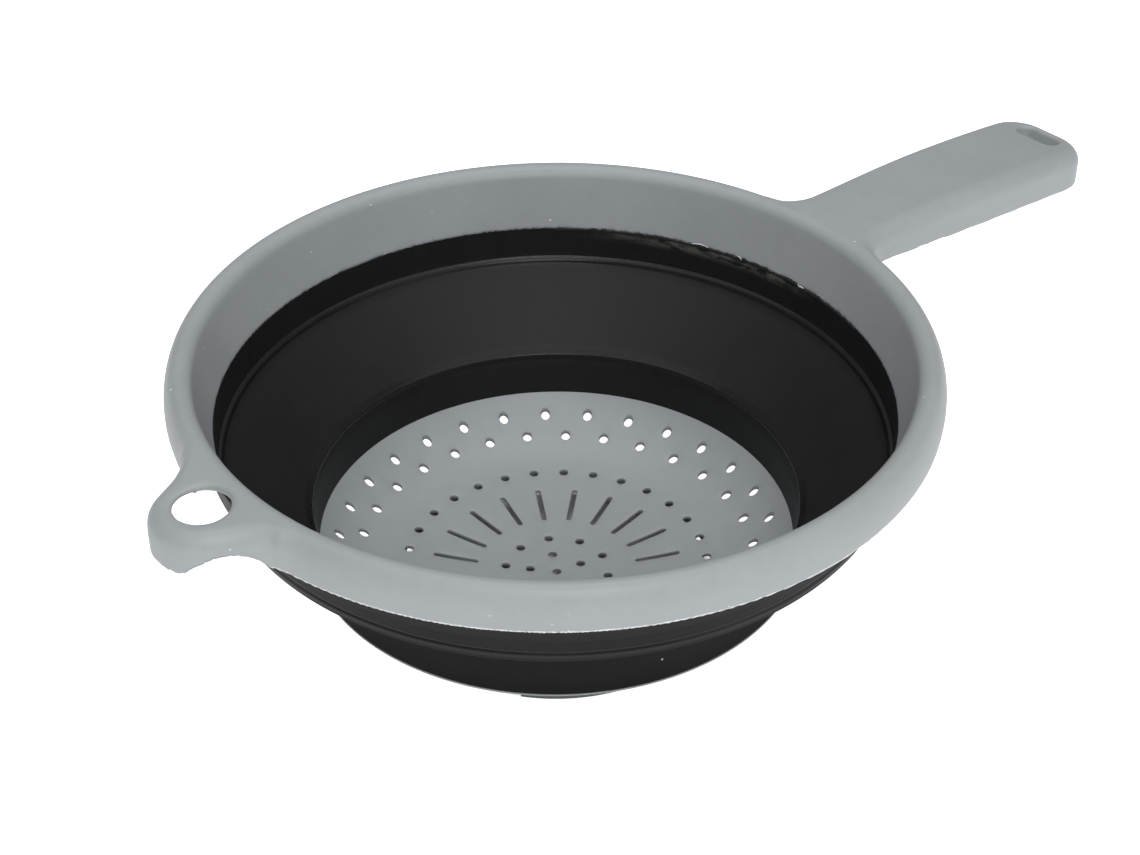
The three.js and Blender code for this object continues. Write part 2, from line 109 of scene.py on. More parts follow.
class RimSizes(bpy.types.PropertyGroup):
    """The rolled rim, its skirt and its sloping inner wall."""

    outer_radius: length("Outer radius", 0.11978, "From the bowl's axis to the outside of the bead")
    crest_height: length("Crest height", 0.0974, "From the table to the top of the bead")
    bead_radius: length("Bead radius", 0.0046, "Radius of the rolled bead")
    shoulder_drop: length("Shoulder drop", 0.0094, "From the crest to the widest place outside")
    wall: length("Wall", 0.0022, "Thickness of the plastic")
    skirt_depth: length("Skirt depth", 0.0137, "From the crest to the skirt's lip")
    skirt_draft: turn("Skirt draft", 7, "How far the skirt leans in")
    inner_depth: length("Inner wall depth", 0.0214, "From the crest to the seam with the rubber")
    inner_draft: turn("Inner wall draft", 14.5, "How far the inner wall leans in")
    softness: length("Softness", 0.0009, "How far the moulding's edges are rounded off")


class HandleSizes(bpy.types.PropertyGroup):
    """The long handle, a shell open below."""

    reach: length("Reach", 0.237, "From the bowl's axis to the handle's tip")
    neck_width: length("Neck width", 0.0362, "Width near the rim")
    grip_width: length("Grip width", 0.0378, "Width near the tip")
    grip_length: length("Grip length", 0.055, "The stretch at the full width")
    level_length: length("Level length", 0.025, "The stretch next to the rim with a level top")
    arch_radius: length("Arch radius", 0.78, "Curve of the top beyond the level stretch")
    root_depth: length("Root depth", 0.0111, "From the rim's crest to the lower edge at the rim")
    under_slope: turn("Slope below", 3.75, "How far the lower edge slopes down to the tip")
    edge_radius: length("Edge radius", 0.0058, "Rounding of the upper edges")
    corner_radius: length("Corner radius", 0.014, "Rounding of the tip, seen from above")
    root_fillet: length("Root fillet", 0.012, "Where the handle grows out of the rim")
    slot_length: length("Slot length", 0.0172, "Length of the hanging slot, across the handle")
    slot_width: length("Slot width", 0.0073, "Width of the hanging slot")
    slot_inset: length("Slot inset", 0.0101, "From the slot's middle to the tip")
    rib: length("Rib", 0.0015, "Thickness of the ribs underneath")
    rib_inset: length("Rib inset", 0.002, "From the ribs' lower edges to the handle's")
    cross_ribs: IntProperty(name="Cross ribs", description="Ribs across the handle", default=5)


class LoopSizes(bpy.types.PropertyGroup):
    """The hanging loop, opposite the handle."""

    reach: length("Reach", 0.1256, "From the bowl's axis to the middle of the round end")
    outer_radius: length("Outer radius", 0.0157, "Of the loop's round end")
    flank_lean: turn("Flank lean", 28.5, "Of the straight flanks, from the handle's line")
    hole_reach: length("Hole reach", 0.1259, "From the bowl's axis to the middle of the hole")
    hole_radius: length("Hole radius", 0.0081, "Of the hanging hole")
    hole_round: length("Hole edge", 0.0011, "Rounding of the hole's upper edge")
    plate: length("Plate", 0.0022, "Thickness of the loop's top")
    drop: length("Drop", 0.0008, "From the rim's crest to the top of the loop")
    wall: length("Wall", 0.0021, "Thickness of the loop's skirt")
    edge_depth: length("Edge depth", 0.0052, "How far down the rounding of the upper edges reaches")
    blend: length("Blend", 0.007, "How softly the loop's outline runs into the rim's")
    fillet: length("Fillet", 0.0035, "Where a flank meets the rim")
    arch_span: length("Arch span", 0.0197, "Width of the cut-outs under the flanks")
    arch_rise: length("Arch rise", 0.0058, "Height of the cut-outs")
    arch_inset: length("Arch inset", 0.0029, "From the loop's tip to the cut-outs")
    far_share: share("Far cut-out", 0.5, "Steepness of its end at the rim, against the near one's")


class WallSizes(bpy.types.PropertyGroup):
    """The black folding wall."""

    thickness: length("Thickness", 0.0018, "Of the cone")
    seam_radius: length("Seam radius", 0.1062, "Inside radius where the rubber meets the rim")
    upper_radius: length("Upper fold radius", 0.1052, "Inside radius of the upper fold")
    upper_height: length("Upper fold height", 0.0641, "Height of the upper fold")
    lower_radius: length("Lower fold radius", 0.0782, "Inside radius of the lower fold")
    lower_height: length("Lower fold height", 0.0412, "Height of the lower fold")
    edge_radius: length("Dish radius", 0.0770, "Inside radius where the rubber meets the dish")
    edge_height: length("Dish height", 0.0261, "Height where the rubber meets the dish")
    bead: length("Fold bead", 0.0006, "Radius of the bead along each fold")
    collar: length("Collar", 0.004, "How far the rubber climbs outside the rim's inner wall")


class FlashSizes(bpy.types.PropertyGroup):
    """The ragged film of rubber left over the rim at the seam."""

    start: turn("Start", -17, "Where the film starts, round from the handle")
    end: turn("End", 46, "Where the film ends")
    narrow: turn("Narrowest tear", 1.4, "Width of the smallest tear, round the seam")
    wide: turn("Widest tear", 7.0, "Width of the largest tear, round the seam")
    low: length("Low edge", 0.0, "Height of the notches between the tears")
    high: length("High edge", 0.0011, "Height of the tallest tear")
    film: length("Film", 0.00012, "How far the film stands off the rim")
    seed: IntProperty(name="Seed", description="Another seed tears the film elsewhere", default=11)


class DishSizes(bpy.types.PropertyGroup):
    """The strainer dish and its foot ring."""

    radius: length("Radius", 0.077, "Of the dish, where the rubber starts")
    hidden: length("Hidden edge", 0.0019, "How far the dish runs on inside the rubber")
    wall: length("Wall", 0.0014, "Thickness of the plastic")
    centre_height: length("Centre height", 0.0067, "From the table to the middle of the dish")
    cap_radius: length("Cap radius", 0.318, "Curve of the shallow middle")
    cap_reach: length("Cap reach", 0.0516, "Where the middle turns into the flank")
    edge_slope: turn("Edge slope", 52.3, "Slope of the flank at the rubber")
    pattern_turn: turn("Pattern turn", -12, "Turn of the middle of the pattern from the handle")
    flank_hole: length("Flank hole", 0.0032, "Diameter of the holes in the flank")
    middle_hole: length("Middle hole", 0.0029, "Diameter of the holes in the middle")
    slot_width: length("Slot width", 0.0017, "Width of the slots")
    hole_edge: length("Hole edge", 0.00028, "Rounding of the holes' edges")
    foot_radius: length("Foot radius", 0.0548, "Outside radius of the foot ring")
    foot_wall: length("Foot wall", 0.0018, "Thickness of the foot ring")
    foot_draft: turn("Foot draft", 3, "How far the foot ring spreads upward")
    notch_width: length("Notch width", 0.028, "Width of the drain notches in the foot")
    notch_depth: length("Notch depth", 0.004, "Height of the drain notches in the foot")


class Finishes(bpy.types.PropertyGroup):
    """Colours of the two mouldings."""

    plastic: colour("Grey plastic", (0.340, 0.363, 0.377), "Satin moulded polypropylene")
    plastic_roughness: share("Plastic roughness", 0.46, "Of the grey plastic")
    rubber: colour("Black rubber", (0.0080, 0.0078, 0.0076), "Satin black thermoplastic rubber")
    rubber_roughness: share("Rubber roughness", 0.52, "Of the black rubber")
    dust: colour("Dust", (0.80, 0.80, 0.79), "Pale specks that cling to both mouldings")


class StudioSizes(bpy.types.PropertyGroup):
    """Camera, floor and lamps."""

    camera_place: FloatVectorProperty(
        name="Camera place",
        description="Where the camera stands, round the bowl's axis",
        default=(-0.33643, -0.41545, 0.44725),
        subtype="XYZ",
    )
    camera_aim: FloatVectorProperty(
        name="Camera aim",
        description="What the camera looks at, round the bowl's axis",
        default=(0.0082, 0.00298, 0.060),
        subtype="XYZ",
    )
    camera_roll: turn("Camera roll", 0.0924, "Turn of the camera round its own axis")
    lens: FloatProperty(
        name="Lens", description="Focal length for a 36 mm sensor", default=65.69, unit="CAMERA"
    )
    floor: colour("Floor", (0.86, 0.86, 0.86), "The pale floor")
    floor_glow: FloatProperty(name="Floor glow", description="Light of the floor", default=1.1)
    sky: FloatProperty(name="Sky", description="Strength of the soft light all round", default=0.30)


# Solids from distances: a moulding is a field that is negative inside the plastic.


def signed_distance(outline, x, y):
    """How far each place lies from a closed outline, negative inside it."""
    nearest = np.full(x.shape, np.inf)
    inside = np.zeros(x.shape, bool)
    for (ax, ay), (bx, by) in zip(outline, np.roll(outline, -1, axis=0)):
        run, rise = bx - ax, by - ay
        along = np.clip(((x - ax) * run + (y - ay) * rise) / (run**2 + rise**2), 0, 1)
        gap = (x - ax - along * run) ** 2 + (y - ay - along * rise) ** 2
        nearest = np.minimum(nearest, gap)
        level = (ay > y) != (by > y)
        inside ^= level & (x < ax + (y - ay) * run / (rise or 1))
    return np.where(inside, -1.0, 1.0) * np.sqrt(nearest)


class Chart:
    """An outline's signed distance, worked out once on a fine grid and read between its points."""

    def __init__(self, outline, margin=0.008, step=0.0002):
        outline = np.array(outline, float)
        self.step = step
        self.low = outline.min(0) - margin
        self.size = np.ceil((outline.max(0) + margin - self.low) / step).astype(int) + 1
        x, y = (self.low[i] + step * np.arange(self.size[i]) for i in (0, 1))
        self.values = signed_distance(outline, *np.meshgrid(x, y, indexing="ij"))

    def __call__(self, x, y):
        across = np.clip((x - self.low[0]) / self.step, 0, self.size[0] - 1.001)
        along = np.clip((y - self.low[1]) / self.step, 0, self.size[1] - 1.001)
        i, j = across.astype(int), along.astype(int)
        s, t = across - i, along - j
        v = self.values
        low = v[i, j] * (1 - s) + v[i + 1, j] * s
        high = v[i, j + 1] * (1 - s) + v[i + 1, j + 1] * s
        return low * (1 - t) + high * t


def soft_min(a, b, width):
    """The nearer of two distances, with the corner between them filled by a fillet."""
    share = np.clip(0.5 + 0.5 * (b - a) / width, 0, 1)
    return b + (a - b) * share - width * share * (1 - share)


def soft_max(a, b, width):
    """The farther of two distances, with the corner between them rounded off."""
    return -soft_min(-a, -b, width)


def rounded_slab(plan, top, radius):
    """A slab under a top face, from its distances to its plan and its top, upper edge rounded."""
    side, over = plan + radius, top + radius
    outside = np.hypot(np.maximum(side, 0), np.maximum(over, 0))
    return np.minimum(np.maximum(side, over), 0) + outside - radius


def arc(centre, radius, start, end, steps):
    """Points along an arc, both ends included."""
    angles = np.linspace(start, end, steps + 1)
    return np.stack([centre[0] + radius * np.cos(angles), centre[1] + radius * np.sin(angles)], 1)


def mirrored(half):
    """Half an outline followed by its mirror image in the X axis."""
    half = np.array(half, float)
    return np.vstack([half, (half * (1, -1))[::-1]])


# Rim frame

# From the rim's outside in to where the fillets of the handle and the loop end.
ROOT_OVERLAP = 0.0008
# From the crest in to where the moulding ends at the seam instead of the lip.
CHANNEL_INSET = 0.003
# Softness of the line where the handle meets the rim.
GRIP_BLEND = 0.0014
# How far the cut-outs under the loop may reach into the rim.
ARCH_BITE = 0.0004
# The loop's own edges come in from this far inside the rim, over this stretch.
LOOP_START, LOOP_RUN = 0.006, 0.016
# Of the loop's blend, at the lip and at the crest.
LOOP_BLEND_SHARES = (0.4, 1.6)
# Of the loop's wall, the rounding of its hollow's upper edge.
HOLLOW_SHARE = 1.5
# How far inside the rim the plans of the handle and the loop start, in bead radii.
INBOARD_BEADS = 3
# Steps along the section's shoulder and bead, and along the plans' fillets, swell and ends.
SHOULDER_STEPS, BEAD_STEPS = 40, 24
FILLET_STEPS, SWELL_STEPS, TIP_STEPS, SLOT_STEPS, LOOP_STEPS = 12, 24, 14, 16, 20


def rim_curve(rim, inset, floor=0.055):
    """The section under the rim's visible faces, drawn inset from them and run down to a floor."""
    crest_radius = rim.outer_radius - rim.bead_radius
    across, upright = rim.bead_radius - inset, rim.shoulder_drop - inset
    start = -atan2(upright * tan(rim.skirt_draft), across)
    shoulder = arc((0, 0), 1, start, pi / 2, SHOULDER_STEPS)[:-1] * (across, upright)
    shoulder += (crest_radius, rim.crest_height - rim.shoulder_drop)
    centre = (crest_radius, rim.crest_height - rim.bead_radius)
    bead = arc(centre, across, pi / 2, pi - rim.inner_draft, BEAD_STEPS)
    bead = np.vstack([shoulder, bead])
    outer = bead[0][0] - (bead[0][1] - floor) * tan(rim.skirt_draft)
    inner = bead[-1][0] - (bead[-1][1] - floor) * tan(rim.inner_draft)
    return np.vstack([[(outer, floor)], bead, [(inner, floor)]])


def handle_plan(rim, handle, inset):
    """The handle seen from above, drawn inset from its visible sides."""
    neck, grip = handle.neck_width / 2 - inset, handle.grip_width / 2 - inset
    corner, fillet = handle.corner_radius - inset, handle.root_fillet + inset
    to_fillet = rim.outer_radius - ROOT_OVERLAP - inset + fillet
    centre = (sqrt(to_fillet**2 - (neck + fillet) ** 2), -neck - fillet)
    meet = asin((neck + fillet) / to_fillet)
    start = handle.reach - handle.grip_length
    t = np.linspace(0, 1, SWELL_STEPS + 1)[1:-1]
    ease = t * t * (3 - 2 * t)
    swell = np.stack([centre[0] + (start - centre[0]) * t, -neck - (grip - neck) * ease], 1)
    tip = (handle.reach - handle.corner_radius, corner - grip)
    inboard = rim.outer_radius - INBOARD_BEADS * rim.bead_radius
    return mirrored(
        np.vstack(
            [
                [(inboard, centre[1] + fillet * sin(meet))],
                arc(centre, fillet, pi - meet, pi / 2, FILLET_STEPS),
                swell,
                arc(tip, corner, -pi / 2, 0, TIP_STEPS)[:-1],
            ]
        )
    )


def slot_plan(handle, grown):
    """The hanging slot across the handle, or the boss round it."""
    radius = handle.slot_width / 2 + grown
    end = (handle.reach - handle.slot_inset, (handle.slot_length - handle.slot_width) / 2)
    return mirrored(arc(end, radius, pi, 0, SLOT_STEPS))


def loop_plan(rim, loop, inset):
    """The hanging loop seen from above, drawn inset from its visible sides."""
    radius, fillet = loop.outer_radius - inset, loop.fillet + inset
    to_rim = rim.outer_radius - ROOT_OVERLAP - inset + fillet
    lean = loop.flank_lean
    flank, side = np.array((cos(lean), sin(lean))), np.array((-sin(lean), cos(lean)))
    abreast = (radius + fillet) * side - (loop.reach, 0)
    along = abreast @ flank
    centre = abreast - (along + sqrt(along**2 - abreast @ abreast + to_rim**2)) * flank
    at_rim = asin(centre[1] / to_rim)
    inboard = INBOARD_BEADS * rim.bead_radius - rim.outer_radius
    return mirrored(
        np.vstack(
            [
                [(inboard, centre[1] - fillet * sin(at_rim))],
                arc(centre, fillet, -at_rim, lean - pi / 2, FILLET_STEPS),
                arc((-loop.reach, 0), radius, pi / 2 + lean, pi, LOOP_STEPS)[:-1],
            ]
        )
    )


def rim_field(rim, handle, loop):
    """The whole grey moulding as a field: rim, handle and loop run into each other softly."""
    face, back = Chart(rim_curve(rim, 0)), Chart(rim_curve(rim, rim.wall))
    grip, grip_room = Chart(handle_plan(rim, handle, 0)), Chart(handle_plan(rim, handle, rim.wall))
    slot, boss = Chart(slot_plan(handle, 0)), Chart(slot_plan(handle, rim.wall))
    eye, eye_room = Chart(loop_plan(rim, loop, 0)), Chart(loop_plan(rim, loop, loop.wall))
    crest_radius = rim.outer_radius - rim.bead_radius
    lip, seam = rim.crest_height - rim.skirt_depth, rim.crest_height - rim.inner_depth
    loop_top = rim.crest_height - loop.drop
    channel = crest_radius - CHANNEL_INSET
    arch_radius = ((loop.arch_span / 2) ** 2 + loop.arch_rise**2) / (2 * loop.arch_rise)
    arch_x = loop.arch_inset + loop.arch_span / 2 - loop.reach - loop.outer_radius
    soft = rim.softness
    rib_start = rim.outer_radius
    rib_end = handle.reach - handle.slot_inset - handle.slot_width / 2
    rib_step = (rib_end - rib_start) / (handle.cross_ribs + 1)

    def grip_parts(x, y, z, radius):
        bent = np.maximum(x - rim.outer_radius - handle.level_length, 0)
        over = z - rim.crest_height + bent**2 / (2 * handle.arch_radius)
        slope = (x - rim.outer_radius) * tan(handle.under_slope)
        under = rim.crest_height - handle.root_depth - slope - z
        outside = np.maximum(crest_radius - radius, under)
        whole = soft_max(rounded_slab(grip(x, y), over, handle.edge_radius), outside, soft / 2)
        room = rounded_slab(grip_room(x, y), over + rim.wall, handle.edge_radius - rim.wall)
        spine = np.abs(y) - handle.rib / 2
        nearest = np.clip(np.round((x - rib_start) / rib_step), 1, handle.cross_ribs)
        across = np.abs(x - rib_start - nearest * rib_step) - handle.rib / 2
        ribs = np.maximum(np.minimum(spine, across), x - rib_end)
        ribs = np.minimum(ribs, boss(x, y) + 0 * z)
        ribs = np.maximum(ribs, under + handle.rib_inset)
        return whole, soft_max(room, -ribs, soft), slot(x, y) + 0 * z

    def rim_and_loop(x, y, z, radius):
        blend = loop.blend * np.interp(z, (lip, rim.crest_height), LOOP_BLEND_SHARES)
        plan = soft_min(radius - rim.outer_radius, eye(x, y), blend)
        out = np.clip((-x - rim.outer_radius + LOOP_START) / LOOP_RUN, 0, 1)
        out = out * out * (3 - 2 * out)
        depth = rim.crest_height - z - out * loop.drop
        squeeze = out * (rim.shoulder_drop / loop.edge_depth - 1)
        depth = depth + squeeze * np.clip(depth, 0, loop.edge_depth)
        lean = out * np.maximum(depth - rim.shoulder_drop, 0) * tan(rim.skirt_draft)
        spread = np.maximum(rim.outer_radius + plan - lean, crest_radius)
        return face(np.where(radius > crest_radius, spread, radius), rim.crest_height - depth)

    def eye_cuts(x, y, z):
        room = rounded_slab(eye_room(x, y), z - loop_top + loop.plate, HOLLOW_SHARE * loop.wall)
        along = (x - arch_x) * np.where((x > arch_x) & (y > 0), loop.far_share, 1.0)
        arch = np.hypot(along, z - lip - loop.arch_rise + arch_radius) - arch_radius
        arch = np.maximum(arch, rim.outer_radius - ARCH_BITE - np.hypot(x, y))
        bore = loop.hole_radius - np.hypot(x + loop.hole_reach, y)
        return room, arch, bore

    def field(x, y, z):
        radius = np.hypot(x, y)
        face_gap = face(radius, z)
        ends = np.where(radius > channel, lip, seam) - z
        body = soft_max(rim_and_loop(x, y, z, radius), ends, soft / 2)
        whole, room, opening = grip_parts(x, y, z, radius)
        body = soft_min(body, whole, GRIP_BLEND)
        eye_hollow, arch, bore = eye_cuts(x, y, z)
        body = soft_max(body, -arch, soft / 2)
        outside = crest_radius - radius
        skirt = np.maximum(-(face_gap + rim.wall / 2), outside)
        body = soft_max(body, -back(radius, z), soft)
        body = soft_max(body, -np.maximum(room, skirt), soft)
        body = soft_max(body, -np.maximum(eye_hollow, outside), soft)
        body = soft_max(body, bore, 2 * loop.hole_round)
        body = soft_max(body, -opening, 2 * soft)
        return np.maximum(body, z - rim.crest_height)

    return field


def field_net(field, low, high, step, wanted):
    """A net of quads over a field's surface: one vertex in each cell that the surface crosses."""
    axes = [np.arange(a, b + step, step) for a, b in zip(low, high)]
    values = np.ones([len(a) for a in axes], np.float32)
    for i, x in enumerate(axes[0]):
        y, z = np.meshgrid(axes[1], axes[2], indexing="ij")
        used = wanted(x, y)
        values[i][used] = field(np.full(used.sum(), x), y[used], z[used])
    cells = np.array(values.shape) - 1
    total, count, quads = np.zeros((3, cells.prod())), np.zeros(cells.prod()), []
    for axis in range(3):
        u, v = (axis + 1) % 3, (axis + 2) % 3
        here = [slice(1, -1)] * 3
        here[axis] = slice(0, -1)
        there = list(here)
        there[axis] = slice(1, None)
        a, b = values[tuple(here)], values[tuple(there)]
        at = np.nonzero((a < 0) != (b < 0))
        first, second = a[at].astype(float), b[at].astype(float)
        corner = np.stack(at, 1) + 1
        corner[:, axis] -= 1
        place = corner.astype(float)
        place[:, axis] += first / (first - second)
        ring = []
        for du, dv in ((0, 0), (1, 0), (1, 1), (0, 1)):
            cell = corner.copy()
            cell[:, u] -= du
            cell[:, v] -= dv
            index = np.ravel_multi_index(cell.T, cells)
            for k in range(3):
                total[k] += np.bincount(index, place[:, k], len(count))
            count += np.bincount(index, minlength=len(count))
            ring.append(index)
        ring = np.stack(ring, 1)
        ring[first > 0] = ring[first > 0][:, ::-1]
        quads.append(ring)
    quads = np.vstack(quads)
    used, quads = np.unique(quads, return_inverse=True)
    points = (total[:, used] / count[used]).T * step + np.array([a[0] for a in axes])
    return points, quads.reshape(-1, 4)


def field_slope(field, points, reach=0.00012):
    """The field's value and its slope at each point."""
    slope = np.empty_like(points)
    for k in range(3):
        step = np.zeros(3)
        step[k] = reach
        slope[:, k] = (field(*(points + step).T) - field(*(points - step).T)) / (2 * reach)
    return field(*points.T), slope


def settle(points, quads, field, step, rounds=3):
    """Evens out a net and lays it on the field's surface."""
    ends = np.vstack([quads[:, [k, (k + 1) % 4]] for k in range(4)])
    links = np.bincount(ends[:, 0], minlength=len(points))
    for _ in range(rounds):
        middle = [np.bincount(ends[:, 0], points[ends[:, 1], k], len(points)) for k in range(3)]
        points = points + 0.5 * (np.stack(middle, 1) / links[:, None] - points)
        for _ in range(2):
            value, slope = field_slope(field, points)
            push = value[:, None] * slope / np.maximum((slope**2).sum(1), 0.25)[:, None]
            points = points - np.clip(push, -step / 2, step / 2)
    return points


# Meshes

# The attribute that holds each vertex's place as it was drawn.
PLACE = "first_place"


def hold_place(mesh):
    """Keeps each vertex's place as drawn, which the finishes read for their patterns."""
    places = np.empty(3 * len(mesh.vertices), np.float32)
    mesh.vertices.foreach_get("co", places)
    held = mesh.attributes.get(PLACE) or mesh.attributes.new(PLACE, "FLOAT_VECTOR", "POINT")
    held.data.foreach_set("vector", places)


def piece(name, points, faces, material, sharp=None):
    """A named object from points drawn round the bowl's axis, shaded smooth."""
    points = np.array(points, float) + (AXIS_X, 0, 0)
    mesh = bpy.data.meshes.new(name)
    mesh.from_pydata(points.tolist(), [], [list(map(int, f)) for f in faces])
    mesh.validate()
    mesh.update()
    mesh.shade_smooth()
    hold_place(mesh)
    if sharp:
        mesh.set_sharp_from_angle(angle=radians(sharp))
    obj = bpy.data.objects.new(name, mesh)
    bpy.context.scene.collection.objects.link(obj)
    mesh.materials.append(material)
    return obj


def all_round(steps):
    """Angles of a full turn."""
    return np.linspace(0, 2 * pi, steps + 1)[:-1]


def swept(rows, angles):
    """Points of a section's rows [distance from the axis, height], set out at each angle."""
    turned = [
        np.stack([away * np.cos(angles), away * np.sin(angles), level + 0 * angles], 1)
        for away, level in rows
    ]
    return np.stack(turned, 1).reshape(-1, 3)


def ring_quads(steps, count):
    """Quads between the places of a closed section that goes all round."""
    i, j = np.meshgrid(np.arange(steps), np.arange(count), indexing="ij")
    i2, j2 = (i + 1) % steps, (j + 1) % count
    quads = np.stack([i * count + j, i2 * count + j, i2 * count + j2, i * count + j2], 2)
    return quads.reshape(-1, 4)


def revolve(section, steps):
    """Points and quads of a closed section [distance from the axis, height] turned all round."""
    return swept(section, all_round(steps)), ring_quads(steps, len(section))


def placed(offsets, radius, height, unit=1):
    """Places given as offsets from one place, in a unit."""
    return [(radius + unit * away, height + unit * up) for away, up in offsets]


def inside_cad_box(obj):
    """Lays any vertex that rounding has put past the frame's box back on it."""
    low, high = (np.array(corner) for corner in CAD_BOX)
    mesh = obj.data
    places = np.empty(3 * len(mesh.vertices))
    mesh.vertices.foreach_get("co", places)
    mesh.vertices.foreach_set("co", np.clip(places.reshape(-1, 3), low, high).ravel())
    mesh.update()


# Folding wall

# Places of the wall's section, each away from the axis and up. Those named shares are in fold
# beads from a fold, and on the cone they are up from its slope. The rest are in metres.
UPPER_BAND = [(0, 0.0002), (-0.0001, -0.004)]
UPPER_FOLD_SHARES = [
    (1.25, 5.2),
    (1.1, 3.6),
    (0.85, 2.3),
    (0.35, 1.85),
    (-0.5, 1.4),
    (-1.25, 0.6),
    (-1.7, -0.4),
    (-2.2, -1.5),
]
CONE_TOP_SHARES = [(-3.2, 0.05), (-4.8, -0.2), (-8, -0.1), (-15, 0)]
CONE_FOOT_SHARES = [(10, 0), (5.5, 0), (3.2, 0.1)]
LOWER_FOLD_SHARES = [
    (1.4, 1.3),
    (0.1, 0.2),
    (0, -1),
    (0.5, -2.1),
    (0.8, -3.3),
    (0.3, -5.2),
    (-0.5, -9),
]
DISH_EDGE = [(0.0004, 0.005), (0, 0), (0.0004, -0.0012)]
# Thickness of the rubber where it meets the dish, and under the lower fold.
BAND_WALL, FOLD_WALL = 0.0034, 0.0040
BAND_BACK = [(-0.0006, -0.0004), (-0.0001, -0.0002), (0, 0.0006), (0.0004, 0.005), (0.0005, 0.010)]
UNDER_FOLD = [(0, -0.0022), (0.0002, -0.0008)]
CONE_START = [(0.0010, -0.0001)]
# From the lower and the upper fold to the plain stretch of the cone's back, and its places.
CONE_RUN, CONE_COUNT = (0.0025, 0.0022), 10
FOLD_BACK = [
    (-0.0007, -0.0034),
    (0.0003, -0.0027),
    (0.0009, -0.0018),
    (0.0012, -0.0009),
    (0.0013, -0.0001),
    (0.0011, 0.0005),
    (0.0009, 0.0009),
    (0.00085, 0.0013),
    (0.0011, 0.0020),
    (0.0018, 0.0038),
]
# From the back of the rim's inner wall to the line that the collar is drawn round.
COLLAR_GAP = 0.0003
COLLAR_FOOT = [(-0.0002, -0.0050), (0.0004, -0.0042), (0.0004, 0)]
COLLAR_TOP = [(0.0004, -0.0003), (0.0002, 0), (-0.0002, 0)]
COLLAR_FRONT = [(-0.0002, 0), (-0.0002, 0.0002)]


def smooth_curve(points, steps=4):
    """A curve through a row of points, with more points between them."""
    points = np.array(points, float)
    ends = np.vstack([2 * points[0] - points[1], points, 2 * points[-1] - points[-2]])
    t = np.linspace(0, 1, steps + 1)[:-1, None]
    made = []
    for a, b, c, d in zip(ends, ends[1:], ends[2:], ends[3:]):
        bend = 2 * a - 5 * b + 4 * c - d
        made.append(b + 0.5 * t * (c - a + t * (bend + t * (3 * b - a - 3 * c + d))))
    return np.vstack(made + [points[-1:]])


def wall_section(wall, rim):
    """The rubber wall's closed section, from the seam down its inside and up its outside."""
    upper, lower = wall.upper_radius, wall.lower_radius
    top, low = wall.upper_height, wall.lower_height
    edge, foot = wall.edge_radius, wall.edge_height
    slope = (top - low) / (upper - lower)
    drop = wall.thickness / cos(atan2(slope, 1))
    seam = rim.crest_height - rim.inner_depth
    unit = wall.bead

    def cone(radius):
        return low + (radius - lower) * slope

    def on_cone(offsets, start, size=1, down=0):
        places = placed(offsets, start, 0, size)
        return [(radius, cone(radius) + up - down) for radius, up in places]

    inside = smooth_curve(
        [
            *placed(UPPER_BAND, wall.seam_radius, seam),
            *placed(UPPER_FOLD_SHARES, upper, top, unit),
            *on_cone(CONE_TOP_SHARES, upper, unit),
            ((upper + lower) / 2, cone((upper + lower) / 2)),
            *on_cone(CONE_FOOT_SHARES, lower, unit),
            *placed(LOWER_FOLD_SHARES, lower, low, unit),
            *placed(DISH_EDGE, edge, foot),
        ]
    )
    under = edge + FOLD_WALL
    lower_band = [
        *placed(BAND_BACK, edge + BAND_WALL, foot),
        *placed(UNDER_FOLD, under, cone(under) - drop),
        *on_cone(CONE_START, under, 1, drop),
    ]
    run = np.linspace(under + CONE_RUN[0], upper - CONE_RUN[1], CONE_COUNT)
    cone_back = np.stack([run, cone(run) - drop], 1)
    outside = smooth_curve([cone_back[-1], *placed(FOLD_BACK, upper, top)], 3)
    back = wall.seam_radius + rim.wall + COLLAR_GAP
    climb = wall.collar * tan(rim.inner_draft)
    collar = [
        *placed(COLLAR_FOOT, back, seam),
        *placed(COLLAR_TOP, back + climb, seam + wall.collar),
        *placed(COLLAR_FRONT, back, seam),
    ]
    return np.vstack([inside, lower_band, cone_back[:-1], outside, collar])[::-1]


# Ranges of a tear's height as a share of the tallest, and of how far it leans.
TEAR_SHARES, TEAR_LEANS = (0.25, 1.0), (0.6, 1.6)
TEAR_STEPS = 14
TEAR_ROUGHNESS = 0.07
TAPER = radians(5)
# Of the film's stand-off, how far its upper edge reaches back into the rim.
FILM_EDGE_SHARE = 0.6


def torn_edge(flash):
    """Angles along the film and its height at each, in tears that meet in sharp notches."""
    pick = np.random.default_rng(flash.seed)
    angles, heights, at = [], [], flash.start
    while at < flash.end:
        width = flash.narrow + (flash.wide - flash.narrow) * pick.random() ** 2
        size = TEAR_SHARES[0] + (TEAR_SHARES[1] - TEAR_SHARES[0]) * pick.random()
        lean = TEAR_LEANS[0] + (TEAR_LEANS[1] - TEAR_LEANS[0]) * pick.random()
        t = np.linspace(0, 1, TEAR_STEPS + 1)[:-1]
        angles.append(at + width * t)
        ragged = 1 + TEAR_ROUGHNESS * pick.standard_normal(TEAR_STEPS)
        tear = size * ragged * np.sin(pi * t**lean) ** 0.5
        heights.append(flash.low + (flash.high - flash.low) * tear)
        at += width
    angles, heights = np.concatenate(angles), np.concatenate(heights)
    taper = np.clip(np.minimum(angles - flash.start, angles[-1] - angles) / TAPER, 0, 1)
    return angles, heights * taper


